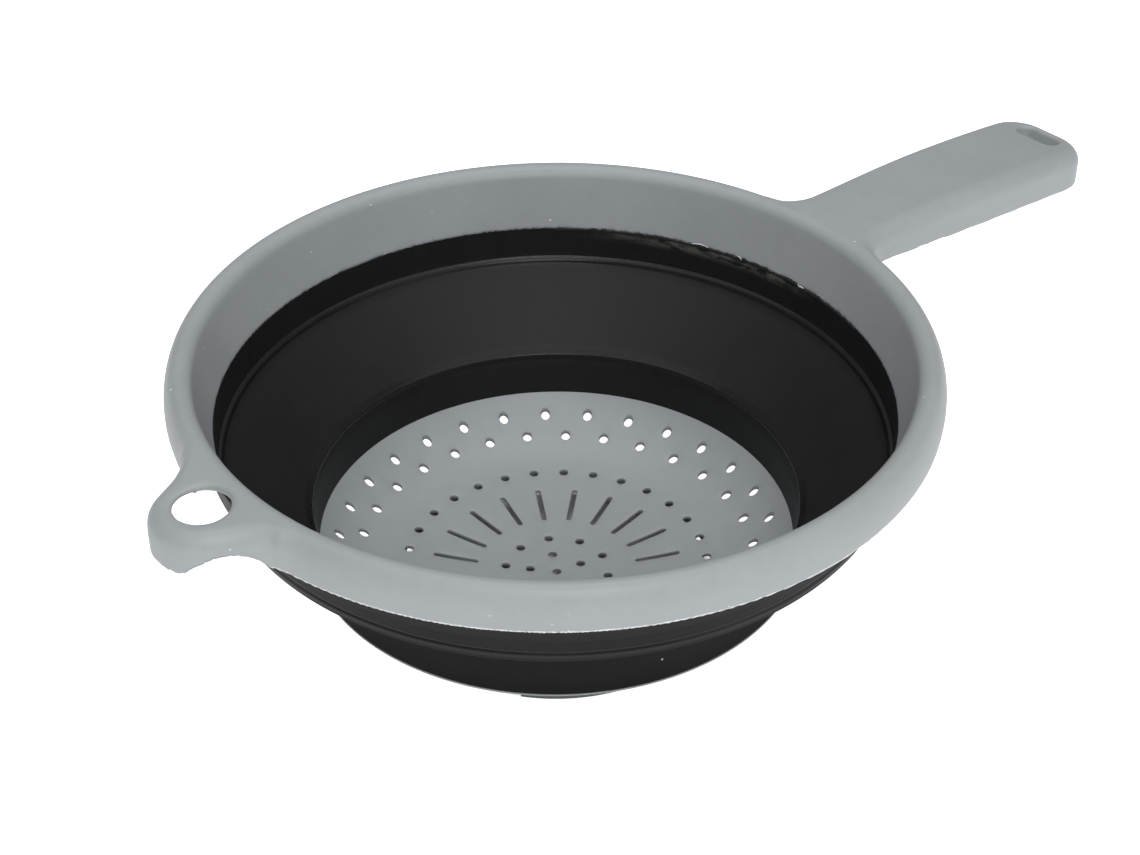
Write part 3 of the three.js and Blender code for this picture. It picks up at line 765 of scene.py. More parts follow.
def seam_film(rim, flash, angles, low, high):
    """Points and faces of a film on the rim's inner wall, between two heights over the seam."""
    low, high = low + 0 * angles, high + 0 * angles
    seam = rim.crest_height - rim.inner_depth
    crest_radius, climb = rim.outer_radius - rim.bead_radius, tan(rim.inner_draft)
    tangent = rim.crest_height - rim.bead_radius + rim.bead_radius * sin(rim.inner_draft)
    foot = crest_radius - rim.bead_radius * cos(rim.inner_draft) - (tangent - seam) * climb
    rows = [
        (foot + climb * low - flash.film, seam + low),
        (foot + climb * high - FILM_EDGE_SHARE * flash.film, seam + high),
        (foot + climb * high + flash.film, seam + high),
        (foot + climb * low + flash.film, seam + low),
    ]
    count = len(angles)
    i, j = np.meshgrid(np.arange(count - 1), np.arange(4), indexing="ij")
    j2 = (j + 1) % 4
    quads = np.stack([i * 4 + j, i * 4 + j2, i * 4 + 4 + j2, i * 4 + 4 + j], 2).reshape(-1, 4)
    last = 4 * count - 4
    ends = [[3, 2, 1, 0], [last, last + 1, last + 2, last + 3]]
    return swept(rows, angles), np.vstack([quads, ends])


# Strainer dish

# Where the slots start and end, as shares of the dish's radius, and how many there are.
SLOT_SHARES, SLOTS = (0.345, 0.54), 20
# Of the flank's radius, how far out its curve is followed.
STEEPEST_SHARE = 0.98
# Distance between the places of the dish's net, and how near two of them may lie.
NET_SPACING, NET_WELD = 0.0024, 1e-7
# Shares of that distance, kept free along the dish's edge and round its holes.
EDGE_ROOM_SHARE, HOLE_ROOM_SHARE = 0.4, 0.42
# The turn of each ring of the net from the last.
RING_TURN = 0.37
# Of a hole's rounding, where it is eased by one more row of places.
EASED_SHARE = 0.3
# Places round the dish's edge in that net, and round the foot.
EDGE_COUNT, FOOT_COUNT = 240, 360
NOTCHES = 5
# The turn over which a notch's side rises.
NOTCH_SIDE = 0.0008
# How far the foot spreads where it meets the dish, and how deep its top lies under the dish's face.
FOOT_FLARE, FOOT_TOP = 0.0005, 0.0012
FOOT_EDGE = 0.0003
# From the rubber's inside edge down to the step's top, and the places of the step from there, at
# its root and on its outside face.
STEP_DROP = 0.0004
STEP_ROOT = [(-0.0006, -0.0010), (0.0002, 0)]
STEP_FACE = [(-0.0004, -0.0008), (0, -0.0005), (-0.0001, -0.00005)]


def dish_heights(dish):
    """The upper face's height at any distance from the axis, and the lower face's."""
    cap_angle = asin(dish.cap_reach / dish.cap_radius)
    centre = dish.centre_height + dish.cap_radius
    flank = (dish.radius - dish.cap_reach) / (sin(dish.edge_slope) - sin(cap_angle))
    back = dish.cap_radius - flank
    flank_x, flank_y = back * sin(cap_angle), centre - back * cos(cap_angle)

    def height(radius, down):
        split = (dish.cap_radius + down) * sin(cap_angle)
        shallow = np.minimum(radius, split)
        steep = np.clip(radius - flank_x, 0, (flank + down) * STEEPEST_SHARE)
        cap = centre - np.sqrt((dish.cap_radius + down) ** 2 - shallow**2)
        side = flank_y - np.sqrt((flank + down) ** 2 - steep**2)
        return np.where(radius < split, cap, side)

    return height


def round_hole(place, diameter, grown, steps=20):
    """A round hole's outline."""
    return arc(place, diameter / 2 + grown, 0, 2 * pi, steps)[:-1]


def long_slot(angle, inner, outer, width, grown, steps=7, sides=4):
    """A slot's outline, pointing at the middle."""
    radius = width / 2 + grown
    reach = (outer - inner) / 2 - width / 2
    along = np.linspace(reach, -reach, sides + 2)[1:-1]
    flat = np.vstack(
        [
            arc((reach, 0), radius, -pi / 2, pi / 2, steps),
            np.stack([along, np.full(sides, radius)], 1),
            arc((-reach, 0), radius, pi / 2, 1.5 * pi, steps),
            np.stack([-along, np.full(sides, -radius)], 1),
        ]
    )
    flat = flat + ((inner + outer) / 2, 0)
    turned = np.array([[cos(angle), sin(angle)], [-sin(angle), cos(angle)]])
    return flat @ turned


def hole_outlines(dish):
    """One function for each drain hole, which gives its outline grown by some of its edge."""
    # How many, their distance from the axis as a share, the turn of the first, and their size.
    rings = (
        (30, 0.93, pi / 30, dish.flank_hole),
        (30, 0.845, 0, dish.flank_hole),
        (30, 0.647, 0, dish.middle_hole),
        (10, 0.223, dish.pattern_turn, dish.middle_hole),
        (5, 0.116, dish.pattern_turn, dish.middle_hole),
        (1, 0, 0, dish.middle_hole),
    )
    made = []
    for count, away_share, start, diameter in rings:
        radius = away_share * dish.radius
        for i in range(count):
            angle = start + 2 * pi * i / count
            made.append(partial(round_hole, (radius * cos(angle), radius * sin(angle)), diameter))
    inner, outer = (end * dish.radius for end in SLOT_SHARES)
    for i in range(SLOTS):
        angle = dish.pattern_turn + 2 * pi * i / SLOTS
        made.append(partial(long_slot, angle, inner, outer, dish.slot_width))
    return made


def pierced_plan(edge, outlines, spacing):
    """A flat net of triangles over a disc, left open at the outlines."""
    points = [arc((0, 0), edge, 0, 2 * pi, EDGE_COUNT)[:-1]]
    owner = [np.full(EDGE_COUNT, -1)]
    links = [(i, (i + 1) % EDGE_COUNT) for i in range(EDGE_COUNT)]
    loops, start = [], EDGE_COUNT
    for number, outline in enumerate(outlines):
        count = len(outline)
        loops.append(np.arange(start, start + count))
        links += [(start + i, start + (i + 1) % count) for i in range(count)]
        points.append(outline)
        owner.append(np.full(count, number))
        start += count
    drawn = np.vstack(points)
    extra = []
    for number, radius in enumerate(np.arange(spacing, edge - EDGE_ROOM_SHARE * spacing, spacing)):
        steps = max(6, int(2 * pi * radius / spacing))
        first = RING_TURN * number
        extra.append(arc((0, 0), radius, first, first + 2 * pi, steps)[:-1])
    extra = np.vstack(extra)
    gap = np.full(len(extra), np.inf)
    for outline in points:
        for place in outline:
            gap = np.minimum(gap, ((extra - place) ** 2).sum(1))
    in_hole = np.zeros(len(extra), bool)
    for outline in outlines:
        in_hole |= signed_distance(outline, *extra.T) < 0
    extra = extra[(gap > (HOLE_ROOM_SHARE * spacing) ** 2) & ~in_hole]
    points = np.vstack([drawn, extra])
    owner = np.concatenate([*owner, np.full(len(extra), -1)])
    net = delaunay_2d_cdt([Vector(p) for p in points], links, [], 1, NET_WELD, True)
    origin = np.array([source[0] for source in net[3]])
    triangles = origin[np.array(net[2])]
    holes = owner[triangles]
    shut = (holes[:, 0] >= 0) & (holes[:, 0] == holes[:, 1]) & (holes[:, 1] == holes[:, 2])
    return points, triangles[~shut], np.arange(EDGE_COUNT), loops


def dish_mesh(dish):
    """Points and faces of the dish, with the edges of its holes rounded off."""
    height = dish_heights(dish)
    edge = dish.radius + dish.hidden
    outlines = hole_outlines(dish)
    soft = dish.hole_edge
    plan, triangles, rim, loops = pierced_plan(edge, [hole(soft) for hole in outlines], NET_SPACING)
    count = len(plan)
    radius = np.hypot(*plan.T)
    points = [
        np.column_stack([plan, height(radius, 0)]),
        np.column_stack([plan, height(radius, dish.wall)]),
    ]
    faces = [list(t) for t in triangles] + [list(t[::-1] + count) for t in triangles]
    made = 2 * count
    eased = EASED_SHARE * soft
    edge_steps = ((eased, eased, 0), (0, soft, 0), (0, 0, soft), (eased, 0, eased))
    for outline, loop in zip(outlines, loops):
        rings = [loop]
        for grown, down, up in edge_steps:
            drawn = outline(grown)
            away = np.hypot(*drawn.T)
            level = height(away, dish.wall) + up if up else height(away, 0) - down
            points.append(np.column_stack([drawn, level]))
            rings.append(np.arange(made, made + len(drawn)))
            made += len(drawn)
        rings.append(loop + count)
        for upper, lower in zip(rings, rings[1:]):
            for a, b, c, d in zip(upper, np.roll(upper, -1), np.roll(lower, -1), lower):
                faces.append([a, b, c, d])
    lower = rim + count
    for a, b, c, d in zip(rim, np.roll(rim, -1), np.roll(lower, -1), lower):
        faces.append([a, d, c, b])
    return np.vstack(points), faces


def foot_mesh(dish):
    """Points and quads of the foot ring, its lower edge raised at the drain notches."""
    height = dish_heights(dish)
    outer, inner = dish.foot_radius, dish.foot_radius - dish.foot_wall
    half, pitch = asin(dish.notch_width / 2 / outer), 2 * pi / NOTCHES
    middles = dish.pattern_turn + pitch * np.arange(NOTCHES)
    marks = np.concatenate([middles - half, middles + half])
    angles = np.concatenate([all_round(FOOT_COUNT), marks, marks + NOTCH_SIDE])
    angles = np.unique(np.round(np.mod(angles, 2 * pi), 6))
    nearest = np.mod(angles - dish.pattern_turn + pitch / 2, pitch) - pitch / 2
    level = np.where(np.abs(nearest) < half + NOTCH_SIDE / 4, dish.notch_depth, 0)
    spread = level * tan(dish.foot_draft)
    top_outer, top_inner = outer + FOOT_FLARE, inner - FOOT_FLARE
    rows = [
        (outer - FOOT_EDGE + spread, level),
        (outer + spread, level + FOOT_EDGE),
        (top_outer, float(height(top_outer, FOOT_TOP))),
        (top_inner, float(height(top_inner, FOOT_TOP))),
        (inner - spread, level + FOOT_EDGE),
        (inner + FOOT_EDGE - spread, level),
    ]
    return swept(rows, angles), ring_quads(len(angles), len(rows))


def step_mesh(wall):
    """Points and quads of the dish's step, against which the rubber ends flush outside."""
    level = wall.edge_height - STEP_DROP
    below, above = placed(STEP_ROOT, wall.edge_radius, level)
    face = placed(STEP_FACE, wall.edge_radius + BAND_WALL, level)
    return revolve([below, *face, above], EDGE_COUNT)


def fuse(obj, tool):
    """Joins one closed piece into another and drops the piece that was joined in."""
    join = obj.modifiers.new("fuse", "BOOLEAN")
    join.operation, join.solver, join.object = "UNION", "EXACT", tool
    bpy.context.view_layer.update()
    seen = obj.evaluated_get(bpy.context.evaluated_depsgraph_get())
    mesh = bpy.data.meshes.new_from_object(seen)
    obj.modifiers.remove(join)
    old, obj.data = obj.data, mesh
    bpy.data.meshes.remove(old)
    spare = tool.data
    bpy.data.objects.remove(tool)
    bpy.data.meshes.remove(spare)


# Finishes

# Soft windows, each as the stretch where it comes in and the stretch where it goes out: turns
# from the handle, or distances from the bowl's axis.
DUSTY_FRONT = ((-2.65, -2.45), (-1.5, -1.7))
# The pale lip is a painted highlight along the skirt's lower edge.
LIP_HIGHLIGHT_SPAN = ((0.112, 0.114), (0.1215, 0.1205))
SMEARED_BACK = ((-0.10, 0.12), (0.85, 0.45))
# Where the skirt's dust comes in, and where the loop begins: distances, and a turn either way.
DUSTY_SKIRT = (0.116, 0.118)
LOOP_FROM, LOOP_TURN = 0.122, 2.8
# Above the lip, where its paleness, a painted highlight along its edge, ends and where it is full,
# and how ragged its edge is.
LIP_HIGHLIGHT_BAND, LIP_HIGHLIGHT_RAGGED = (0.0006, 0.0003), 0.0009
# Under the seam, where the smears start and are full, and the distance at which they end.
SMEAR_BAND, SMEAR_SIDE = (0.0050, 0.0010), (0.1078, 0.1072)
# Scales of the mould's skin and of the specks, as features in a metre, and amounts of dust: on
# the rest of the rim, added on its dusty places, on the dish and on the rubber.
PLASTIC_SCALES, RUBBER_SCALES = (2600.0, 330.0), (2200.0, 240.0)
RIM_DUST, ADDED_DUST, DISH_DUST, RUBBER_DUST = 0.45, 1.6, 0.18, 0.16
# Where the mottle of each moulding starts and is full, and the colour at either end of it.
PLASTIC_MOTTLE, RUBBER_MOTTLE = (0.32, 0.68), (0.3, 0.7)
PLASTIC_LEVELS, RUBBER_LEVELS = (0.965, 1.035), (0.8, 1.25)
# Of the dust's colour, how much shows on the black rubber, and its height in grains.
DUST_ON_BLACK, DUST_HEIGHT = 0.55, 4.0
# Spread of roughness from the mottle, on the plastic and on the rubber.
MOTTLE_ROUGH = (0.08, 0.10)
# Roughness that dust and smears add, that wear takes off a fold, and the least on the rubber.
DUST_ROUGH, SMEAR_ROUGH, WORN_GLOSS, SMOOTHEST = 0.3, 0.2, 0.26, 0.25
# Bumps of the plastic and of the rubber in metres, and how strongly both show.
PLASTIC_BUMP, RUBBER_BUMP, BUMP_SHARE = 0.00002, 0.00003, 0.6
# How much the lip's paleness, a painted highlight, and the smears cover, and the smears' height in
# grains.
LIP_HIGHLIGHT_COVER, SMEAR_COVER, SMEAR_HEIGHT = 0.85, 0.8, 3.0
PLASTIC_IOR, RUBBER_IOR = 1.49, 1.46
# Noises, each as its features in a metre, its detail and its roughness.
LIP_HIGHLIGHT_NOISE, HIGHLIGHT_SCUFF_NOISE = (420.0, 4.0, 0.7), (900.0, 3.0, 0.7)
BLOTCH_NOISE, GLINT_NOISE = (110.0, 6.0, 0.7), (1800.0, 3.0, 0.7)
# How much shorter than they are wide the smears' blotches are.
BLOTCH_SQUAT = 3.5
# The stretch of each noise over which its mask comes in.
HIGHLIGHT_SCUFF_WINDOW, BLOTCH_WINDOW, GLINT_WINDOW = (0.3, 0.55), (0.40, 0.60), (0.3, 0.7)
# The white of the painted highlight along the lip.
SCUFFED_HIGHLIGHT_WHITE = (0.88, 0.89, 0.90, 1)
# The two tones of the painted glints on the slivers.
GLINT_TONES = ((0.50, 0.51, 0.52, 1), (0.92, 0.93, 0.94, 1))
SMEAR_BROWN = (0.150, 0.138, 0.127, 1)
NO_LIGHT = (0, 0, 0, 1)
# The floor's darker colour near the colander, a painted shadow of the bowl that only light bouncing
# off the floor meets, and the share of its glow that reaches it from afar.
FLOOR_PAINTED_SHADE, FAR_SHARE = (0.32, 0.32, 0.32, 1), 0.60
# Either side of a fold, where the rubbed gloss ends and where it is full.
FOLD_BAND = (0.0020, 0.0008)
# Where the floor stops being dark under the foot, and where its painted shade ends and it lights
# what stands on it.
FOOT_SHADE, FAR_FLOOR = (0.050, 0.056), (0.10, 0.17)


def socket_group(name, inputs, outputs):
    """An empty shader group with named sockets."""
    group = bpy.data.node_groups.new(name, "ShaderNodeTree")
    for title, kind, default in inputs:
        made = group.interface.new_socket(title, in_out="INPUT", socket_type=kind)
        made.default_value = default
    for title, kind in outputs:
        group.interface.new_socket(title, in_out="OUTPUT", socket_type=kind)
    return group, group.nodes.new("NodeGroupInput"), group.nodes.new("NodeGroupOutput")


class Nodes:
    """Adds nodes to a tree and wires them by socket name."""

    def __init__(self, tree):
        self.tree = tree

    def add(self, kind, settings=None, **sockets):
        """A new node, its sockets given by name, or by number as i0, i1."""
        node = self.tree.nodes.new("ShaderNode" + kind)
        for key, value in (settings or {}).items():
            setattr(node, key, value)
        for key, value in sockets.items():
            numbered = key[0] == "i" and key[1:].isdigit()
            self.wire(value, node.inputs[int(key[1:]) if numbered else key])
        return node

    def wire(self, value, socket):
        if isinstance(value, bpy.types.NodeSocket):
            self.tree.links.new(value, socket)
        else:
            socket.default_value = value

    def math(self, operation, a, b=0.0, clamp=False):
        return self.add("Math", {"operation": operation, "use_clamp": clamp}, i0=a, i1=b).outputs[0]

    def times(self, a, b):
        return self.math("MULTIPLY", a, b)

    def plus(self, a, b, clamp=False):
        return self.math("ADD", a, b, clamp)

    def window(self, value, rise, fall):
        """A mask that comes in over one stretch and goes out over another."""
        return self.times(self.step(value, *rise), self.step(value, *fall))

    def step(self, value, low, high):
        """A smooth step from 0 to 1 between two values."""
        node = self.add("MapRange", {"interpolation_type": "SMOOTHSTEP"}, Value=value)
        node.inputs["From Min"].default_value = low
        node.inputs["From Max"].default_value = high
        return node.outputs["Result"]

    def noise(self, vector, scale, detail=3.0, roughness=0.5):
        made = self.add("TexNoise", None, Vector=vector, Scale=scale, Detail=detail)
        made.inputs["Roughness"].default_value = roughness
        return made.outputs["Fac"]

    def dress(self, shader, **sockets):
        """Wires or sets a shader's sockets, written with underscores for their spaces."""
        for key, value in sockets.items():
            self.wire(value, shader.inputs[key.replace("_", " ")])

    def mix(self, share, a, b):
        node = self.add("Mix", {"data_type": "RGBA"})
        self.wire(share, node.inputs[0])
        self.wire(a, node.inputs[6])
        self.wire(b, node.inputs[7])
        return node.outputs[2]


def moulded_grain():
    """Shared: the fine skin that a mould leaves, as a height and a faint mottle."""
    group, source, sink = socket_group(
        "moulded_grain",
        [("Position", "NodeSocketVector", (0, 0, 0)), ("Grain scale", "NodeSocketFloat", 2600.0)],
        [("Height", "NodeSocketFloat"), ("Mottle", "NodeSocketFloat")],
    )
    nodes = Nodes(group)
    place, scale = source.outputs["Position"], source.outputs["Grain scale"]
    fine = nodes.noise(place, scale, 2.0, 0.6)
    coarse = nodes.noise(place, nodes.times(scale, 0.12), 3.0, 0.5)
    flow = nodes.noise(place, nodes.times(scale, 0.012), 4.0, 0.6)
    height = nodes.plus(nodes.times(fine, 0.6), nodes.times(coarse, 0.4))
    mottle = nodes.plus(nodes.times(coarse, 0.35), nodes.times(flow, 0.65))
    nodes.wire(height, sink.inputs["Height"])
    nodes.wire(mottle, sink.inputs["Mottle"])
    return group


def dust_specks():
    """Shared: sparse pale specks, some in loose clusters, as a mask."""
    group, source, sink = socket_group(
        "dust_specks",
        [
            ("Position", "NodeSocketVector", (0, 0, 0)),
            ("Speck scale", "NodeSocketFloat", 260.0),
            ("Amount", "NodeSocketFloat", 0.5),
        ],
        [("Mask", "NodeSocketFloat")],
    )
    nodes = Nodes(group)
    place, scale = source.outputs["Position"], source.outputs["Speck scale"]
    cell = nodes.add("TexVoronoi", {"feature": "F1"}, Vector=place, Scale=scale)
    pick = nodes.add("SeparateColor", None, Color=cell.outputs["Color"])
    rare = nodes.math("LESS_THAN", pick.outputs["Red"], nodes.times(source.outputs["Amount"], 0.1))
    size = nodes.plus(nodes.times(pick.outputs["Green"], 0.10), 0.05)
    near = nodes.math("LESS_THAN", cell.outputs["Distance"], size)
    cluster = nodes.step(nodes.noise(place, nodes.times(scale, 0.08), 2.0), 0.42, 0.62)
    mask = nodes.times(nodes.times(rare, near), cluster)
    nodes.wire(mask, sink.inputs["Mask"])
    return group


def shared_group(name):
    """A shared group, made when it is first asked for."""
    makers = {"moulded_grain": moulded_grain, "dust_specks": dust_specks}
    return bpy.data.node_groups.get(name) or makers[name]()


def new_finish(name):
    """A new material with its node helper, its shader and the place on the piece."""
    material = bpy.data.materials.new(name)
    material.use_nodes = True
    nodes = Nodes(material.node_tree)
    shader = material.node_tree.nodes["Principled BSDF"]
    place = nodes.add("Attribute", {"attribute_name": PLACE}).outputs["Vector"]
    return material, nodes, shader, place


def grain_and_dust(nodes, place, scales, amount):
    """Both shared groups placed in a material: the grain's node and the specks' mask."""
    grain = nodes.add("Group", {"node_tree": shared_group("moulded_grain")}, Position=place)
    grain.inputs["Grain scale"].default_value = scales[0]
    dust = nodes.add("Group", {"node_tree": shared_group("dust_specks")}, Position=place)
    dust.inputs["Speck scale"].default_value = scales[1]
    nodes.wire(amount, dust.inputs["Amount"])
    return grain, dust.outputs["Mask"]


def bump(nodes, height, distance, strength):
    """The normal of a surface raised by a height."""
    made = nodes.add("Bump", None, Height=height, Distance=distance, Strength=strength)
    return made.outputs["Normal"]


def shade(tone, level):
    """A colour made darker or lighter, with its alpha."""
    return (*(Vector(tone) * level), 1)


def around_axis(nodes, place):
    """The height of a place, its distance from the bowl's axis and its turn from the handle."""
    split = nodes.add("SeparateXYZ", None, Vector=place)
    x = nodes.math("SUBTRACT", split.outputs["X"], AXIS_X)
    y = split.outputs["Y"]
    away = nodes.math("SQRT", nodes.plus(nodes.times(x, x), nodes.times(y, y)))
    return split.outputs["Z"], away, nodes.math("ARCTAN2", y, x)


def grey_plastic(finishes, lip_height=None):
    """Satin polypropylene: faint mottle, fine grain, dust, and on the rim a pale lip, a painted
    highlight along the skirt's edge in a ragged, scuffed pattern.
    """
    name = "grey_plastic_rim" if lip_height else "grey_plastic_dish"
    material, nodes, shader, place = new_finish(name)
    height, away, around = around_axis(nodes, place)
    amount = DISH_DUST
    if lip_height:
        skirt = nodes.times(nodes.step(away, *DUSTY_SKIRT), nodes.math("LESS_THAN", away, LOOP_FROM))
        front = nodes.times(nodes.window(around, *DUSTY_FRONT), skirt)
        opposite = nodes.math("GREATER_THAN", nodes.math("ABSOLUTE", around), LOOP_TURN)
        loop = nodes.times(nodes.math("GREATER_THAN", away, LOOP_FROM), opposite)
        more = nodes.math("MAXIMUM", front, loop)
        amount = nodes.plus(nodes.times(more, ADDED_DUST), RIM_DUST)
    grain, dust = grain_and_dust(nodes, place, PLASTIC_SCALES, amount)
    mottle = nodes.step(grain.outputs["Mottle"], *PLASTIC_MOTTLE)
    tone = nodes.mix(mottle, *(shade(finishes.plastic, level) for level in PLASTIC_LEVELS))
    if lip_height:
        # A painted highlight along the skirt's lower edge, white in a ragged, scuffed pattern.
        ragged = nodes.noise(place, *LIP_HIGHLIGHT_NOISE)
        level = nodes.math("SUBTRACT", height, nodes.times(ragged, LIP_HIGHLIGHT_RAGGED))
        edge = nodes.step(level, *(lip_height + up for up in LIP_HIGHLIGHT_BAND))
        edge = nodes.times(edge, nodes.window(away, *LIP_HIGHLIGHT_SPAN))
        highlight_breakup = nodes.step(nodes.noise(place, *HIGHLIGHT_SCUFF_NOISE), *HIGHLIGHT_SCUFF_WINDOW)
        scuffed_highlight = nodes.times(nodes.times(edge, highlight_breakup), LIP_HIGHLIGHT_COVER)
        tone = nodes.mix(scuffed_highlight, tone, SCUFFED_HIGHLIGHT_WHITE)
    tone = nodes.mix(dust, tone, shade(finishes.dust, 1))
    smoothest = finishes.plastic_roughness - MOTTLE_ROUGH[0] / 2
    gloss = nodes.plus(nodes.times(mottle, MOTTLE_ROUGH[0]), smoothest)
    gloss = nodes.plus(gloss, nodes.times(dust, DUST_ROUGH), True)
    lifted = nodes.plus(grain.outputs["Height"], nodes.times(dust, DUST_HEIGHT))
    normal = bump(nodes, lifted, PLASTIC_BUMP, BUMP_SHARE)
    nodes.dress(shader, Base_Color=tone, Roughness=gloss, IOR=PLASTIC_IOR, Normal=normal)
    return material


def black_rubber(finishes, rim, wall):
    """Satin rubber: fine grain, dust, and dry brownish smears under the seam behind the bowl."""
    material, nodes, shader, place = new_finish("black_rubber")
    height, away, around = around_axis(nodes, place)
    grain, dust = grain_and_dust(nodes, place, RUBBER_SCALES, RUBBER_DUST)
    mottle = nodes.step(grain.outputs["Mottle"], *RUBBER_MOTTLE)
    tone = nodes.mix(mottle, *(shade(finishes.rubber, level) for level in RUBBER_LEVELS))
    seam = rim.crest_height - rim.inner_depth
    band = nodes.step(height, *(seam - down for down in SMEAR_BAND))
    behind = nodes.times(nodes.window(around, *SMEARED_BACK), nodes.step(away, *SMEAR_SIDE))
    scaled = nodes.add(
        "VectorMath", {"operation": "MULTIPLY"}, i0=place, i1=(1.0, 1.0, BLOTCH_SQUAT)
    )
    blotch = nodes.step(nodes.noise(scaled.outputs["Vector"], *BLOTCH_NOISE), *BLOTCH_WINDOW)
    smear = nodes.times(nodes.times(band, behind), blotch)
    tone = nodes.mix(nodes.times(smear, SMEAR_COVER), tone, SMEAR_BROWN)
    tone = nodes.mix(dust, tone, shade(finishes.dust, DUST_ON_BLACK))
    smoothest = finishes.rubber_roughness - MOTTLE_ROUGH[1] / 2
    gloss = nodes.plus(nodes.times(mottle, MOTTLE_ROUGH[1]), smoothest)
    gloss = nodes.plus(gloss, nodes.times(smear, SMEAR_ROUGH))
    for fold in (wall.upper_height + wall.bead, wall.lower_height + wall.bead):
        off = nodes.math("ABSOLUTE", nodes.math("SUBTRACT", height, fold))
        worn = nodes.times(nodes.step(off, *FOLD_BAND), WORN_GLOSS)
        gloss = nodes.math("SUBTRACT", gloss, worn)
    gloss = nodes.math("MAXIMUM", gloss, SMOOTHEST, True)
    crust = nodes.times(blotch, nodes.times(smear, SMEAR_HEIGHT))
    lifted = nodes.plus(grain.outputs["Height"], crust)
    normal = bump(nodes, lifted, RUBBER_BUMP, BUMP_SHARE)
    nodes.dress(shader, Base_Color=tone, Roughness=gloss, IOR=RUBBER_IOR, Normal=normal)
    nodes.dress(shader, Specular_IOR_Level=0.34)
    return material


def painted_glint():
    """Near-white colour of the slivers along the film: painted glints on the film's torn edge."""
    material, nodes, shader, place = new_finish("painted_glint")
    glint = nodes.step(nodes.noise(place, *GLINT_NOISE), *GLINT_WINDOW)
    nodes.dress(shader, Base_Color=nodes.mix(glint, *GLINT_TONES), Roughness=0.35)
    return material


def pale_floor(studio):
    """A pale floor that is lit from within, but casts little of its light up on the colander, and is
    darker near it for bouncing light: a painted shadow of the bowl.
    """
    material, nodes, shader, place = new_finish("pale_floor")
    cloud = nodes.step(nodes.noise(place, 3.0, 2.0), 0.3, 0.7)
    pale = nodes.mix(cloud, shade(studio.floor, 0.995), shade(studio.floor, 1))
    away = around_axis(nodes, place)[1]
    glow = nodes.mix(nodes.step(away, *FOOT_SHADE), NO_LIGHT, pale)
    seen = nodes.add("LightPath").outputs["Is Camera Ray"]
    far = nodes.step(away, *FAR_FLOOR)
    # For rays other than the camera's, the floor near the colander is darker: a painted shadow of
    # the bowl.
    floor_with_painted_shade = nodes.mix(nodes.math("MAXIMUM", seen, far), FLOOR_PAINTED_SHADE, pale)
    seen = nodes.math("MAXIMUM", seen, nodes.times(far, FAR_SHARE))
    nodes.dress(shader, Base_Color=floor_with_painted_shade, Roughness=0.9, Specular_IOR_Level=0.2)
    emitted = nodes.mix(seen, NO_LIGHT, glow)
    nodes.dress(shader, Emission_Color=emitted, Emission_Strength=studio.floor_glow)
    return material


# Operators

# The rim's net: its cells, how far it goes past the moulding and how far in from the rim's outside.
NET_STEP, QUICK_STEP = 0.0009, 0.0016
NET_MARGIN, NET_INWARD = 0.003, 0.018
# Pale slivers along the film, painted glints on its torn edge: the middle and half the width of
# each, as turns in degrees.
SLIVERS = ((22.5, 1.7), (14.0, 0.5), (-0.6, 0.8))
SLIVER_DEPTH, SLIVER_BULGE, SLIVER_COUNT = 0.0001, 0.00028, 13
# How far the film reaches down over the rubber.
FILM_LAP = 0.0004
FLOOR_REACH = 4.0
# Places round the wall, and the angles in degrees past which an edge of the wall or dish is sharp.
WALL_COUNT = 288
WALL_SHARP, DISH_SHARP = 50, 48
# Name, place and aim round the bowl's axis, size and power.
LAMPS = (
    ("overhead", (-0.10, -0.10, 1.25), (0, 0, 0), 2.0, 7.2),
    ("spot", (0.10, 0.10, 1.0), (0, 0, 0), 0.24, 1.2),
    ("front_left", (-0.60, -0.95, 0.95), (0, 0, 0.05), 0.8, 6.5),
    ("front_right", (0.35, -1.25, 0.40), (0, 0, 0.05), 1.1, 1.8),
)


class COLANDER_OT_rim_frame(bpy.types.Operator):
    """Build the grey rim with its handle and hanging loop"""

    bl_idname = "colander.rim_frame"
    bl_label = "Rim, handle and loop"

    def execute(self, context):
        scene = context.scene
        rim, handle, loop = scene.colander_rim, scene.colander_handle, scene.colander_loop
        field = rim_field(rim, handle, loop)
        step = NET_STEP
        seam = rim.crest_height - rim.inner_depth
        low = np.array((-loop.reach - loop.outer_radius, -rim.outer_radius, seam)) - NET_MARGIN
        high = np.array((handle.reach, rim.outer_radius, rim.crest_height)) + NET_MARGIN

        def wanted(x, y):
            return np.hypot(x, y) > rim.outer_radius - NET_INWARD

        points, quads = field_net(field, low, high, step, wanted)
        points = settle(points, quads, field, step)
        material = grey_plastic(scene.colander_finishes, rim.crest_height - rim.skirt_depth)
        made = piece("grey_rim", points, quads, material)
        inside_cad_box(made)
        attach(made, "rim")
        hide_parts("rim_frame")
        return {"FINISHED"}


class COLANDER_OT_folding_wall(bpy.types.Operator):
    """Build the black rubber wall with its two folds"""

    bl_idname = "colander.folding_wall"
    bl_label = "Folding wall"

    def execute(self, context):
        scene = context.scene
        wall, rim = scene.colander_wall, scene.colander_rim
        points, quads = revolve(wall_section(wall, rim), WALL_COUNT)
        material = black_rubber(scene.colander_finishes, rim, wall)
        made = piece("folding_wall", points, quads, material, WALL_SHARP)
        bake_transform(made)
        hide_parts("wall_upper_band", "wall_cone_band", "wall_lower_band")
        return {"FINISHED"}


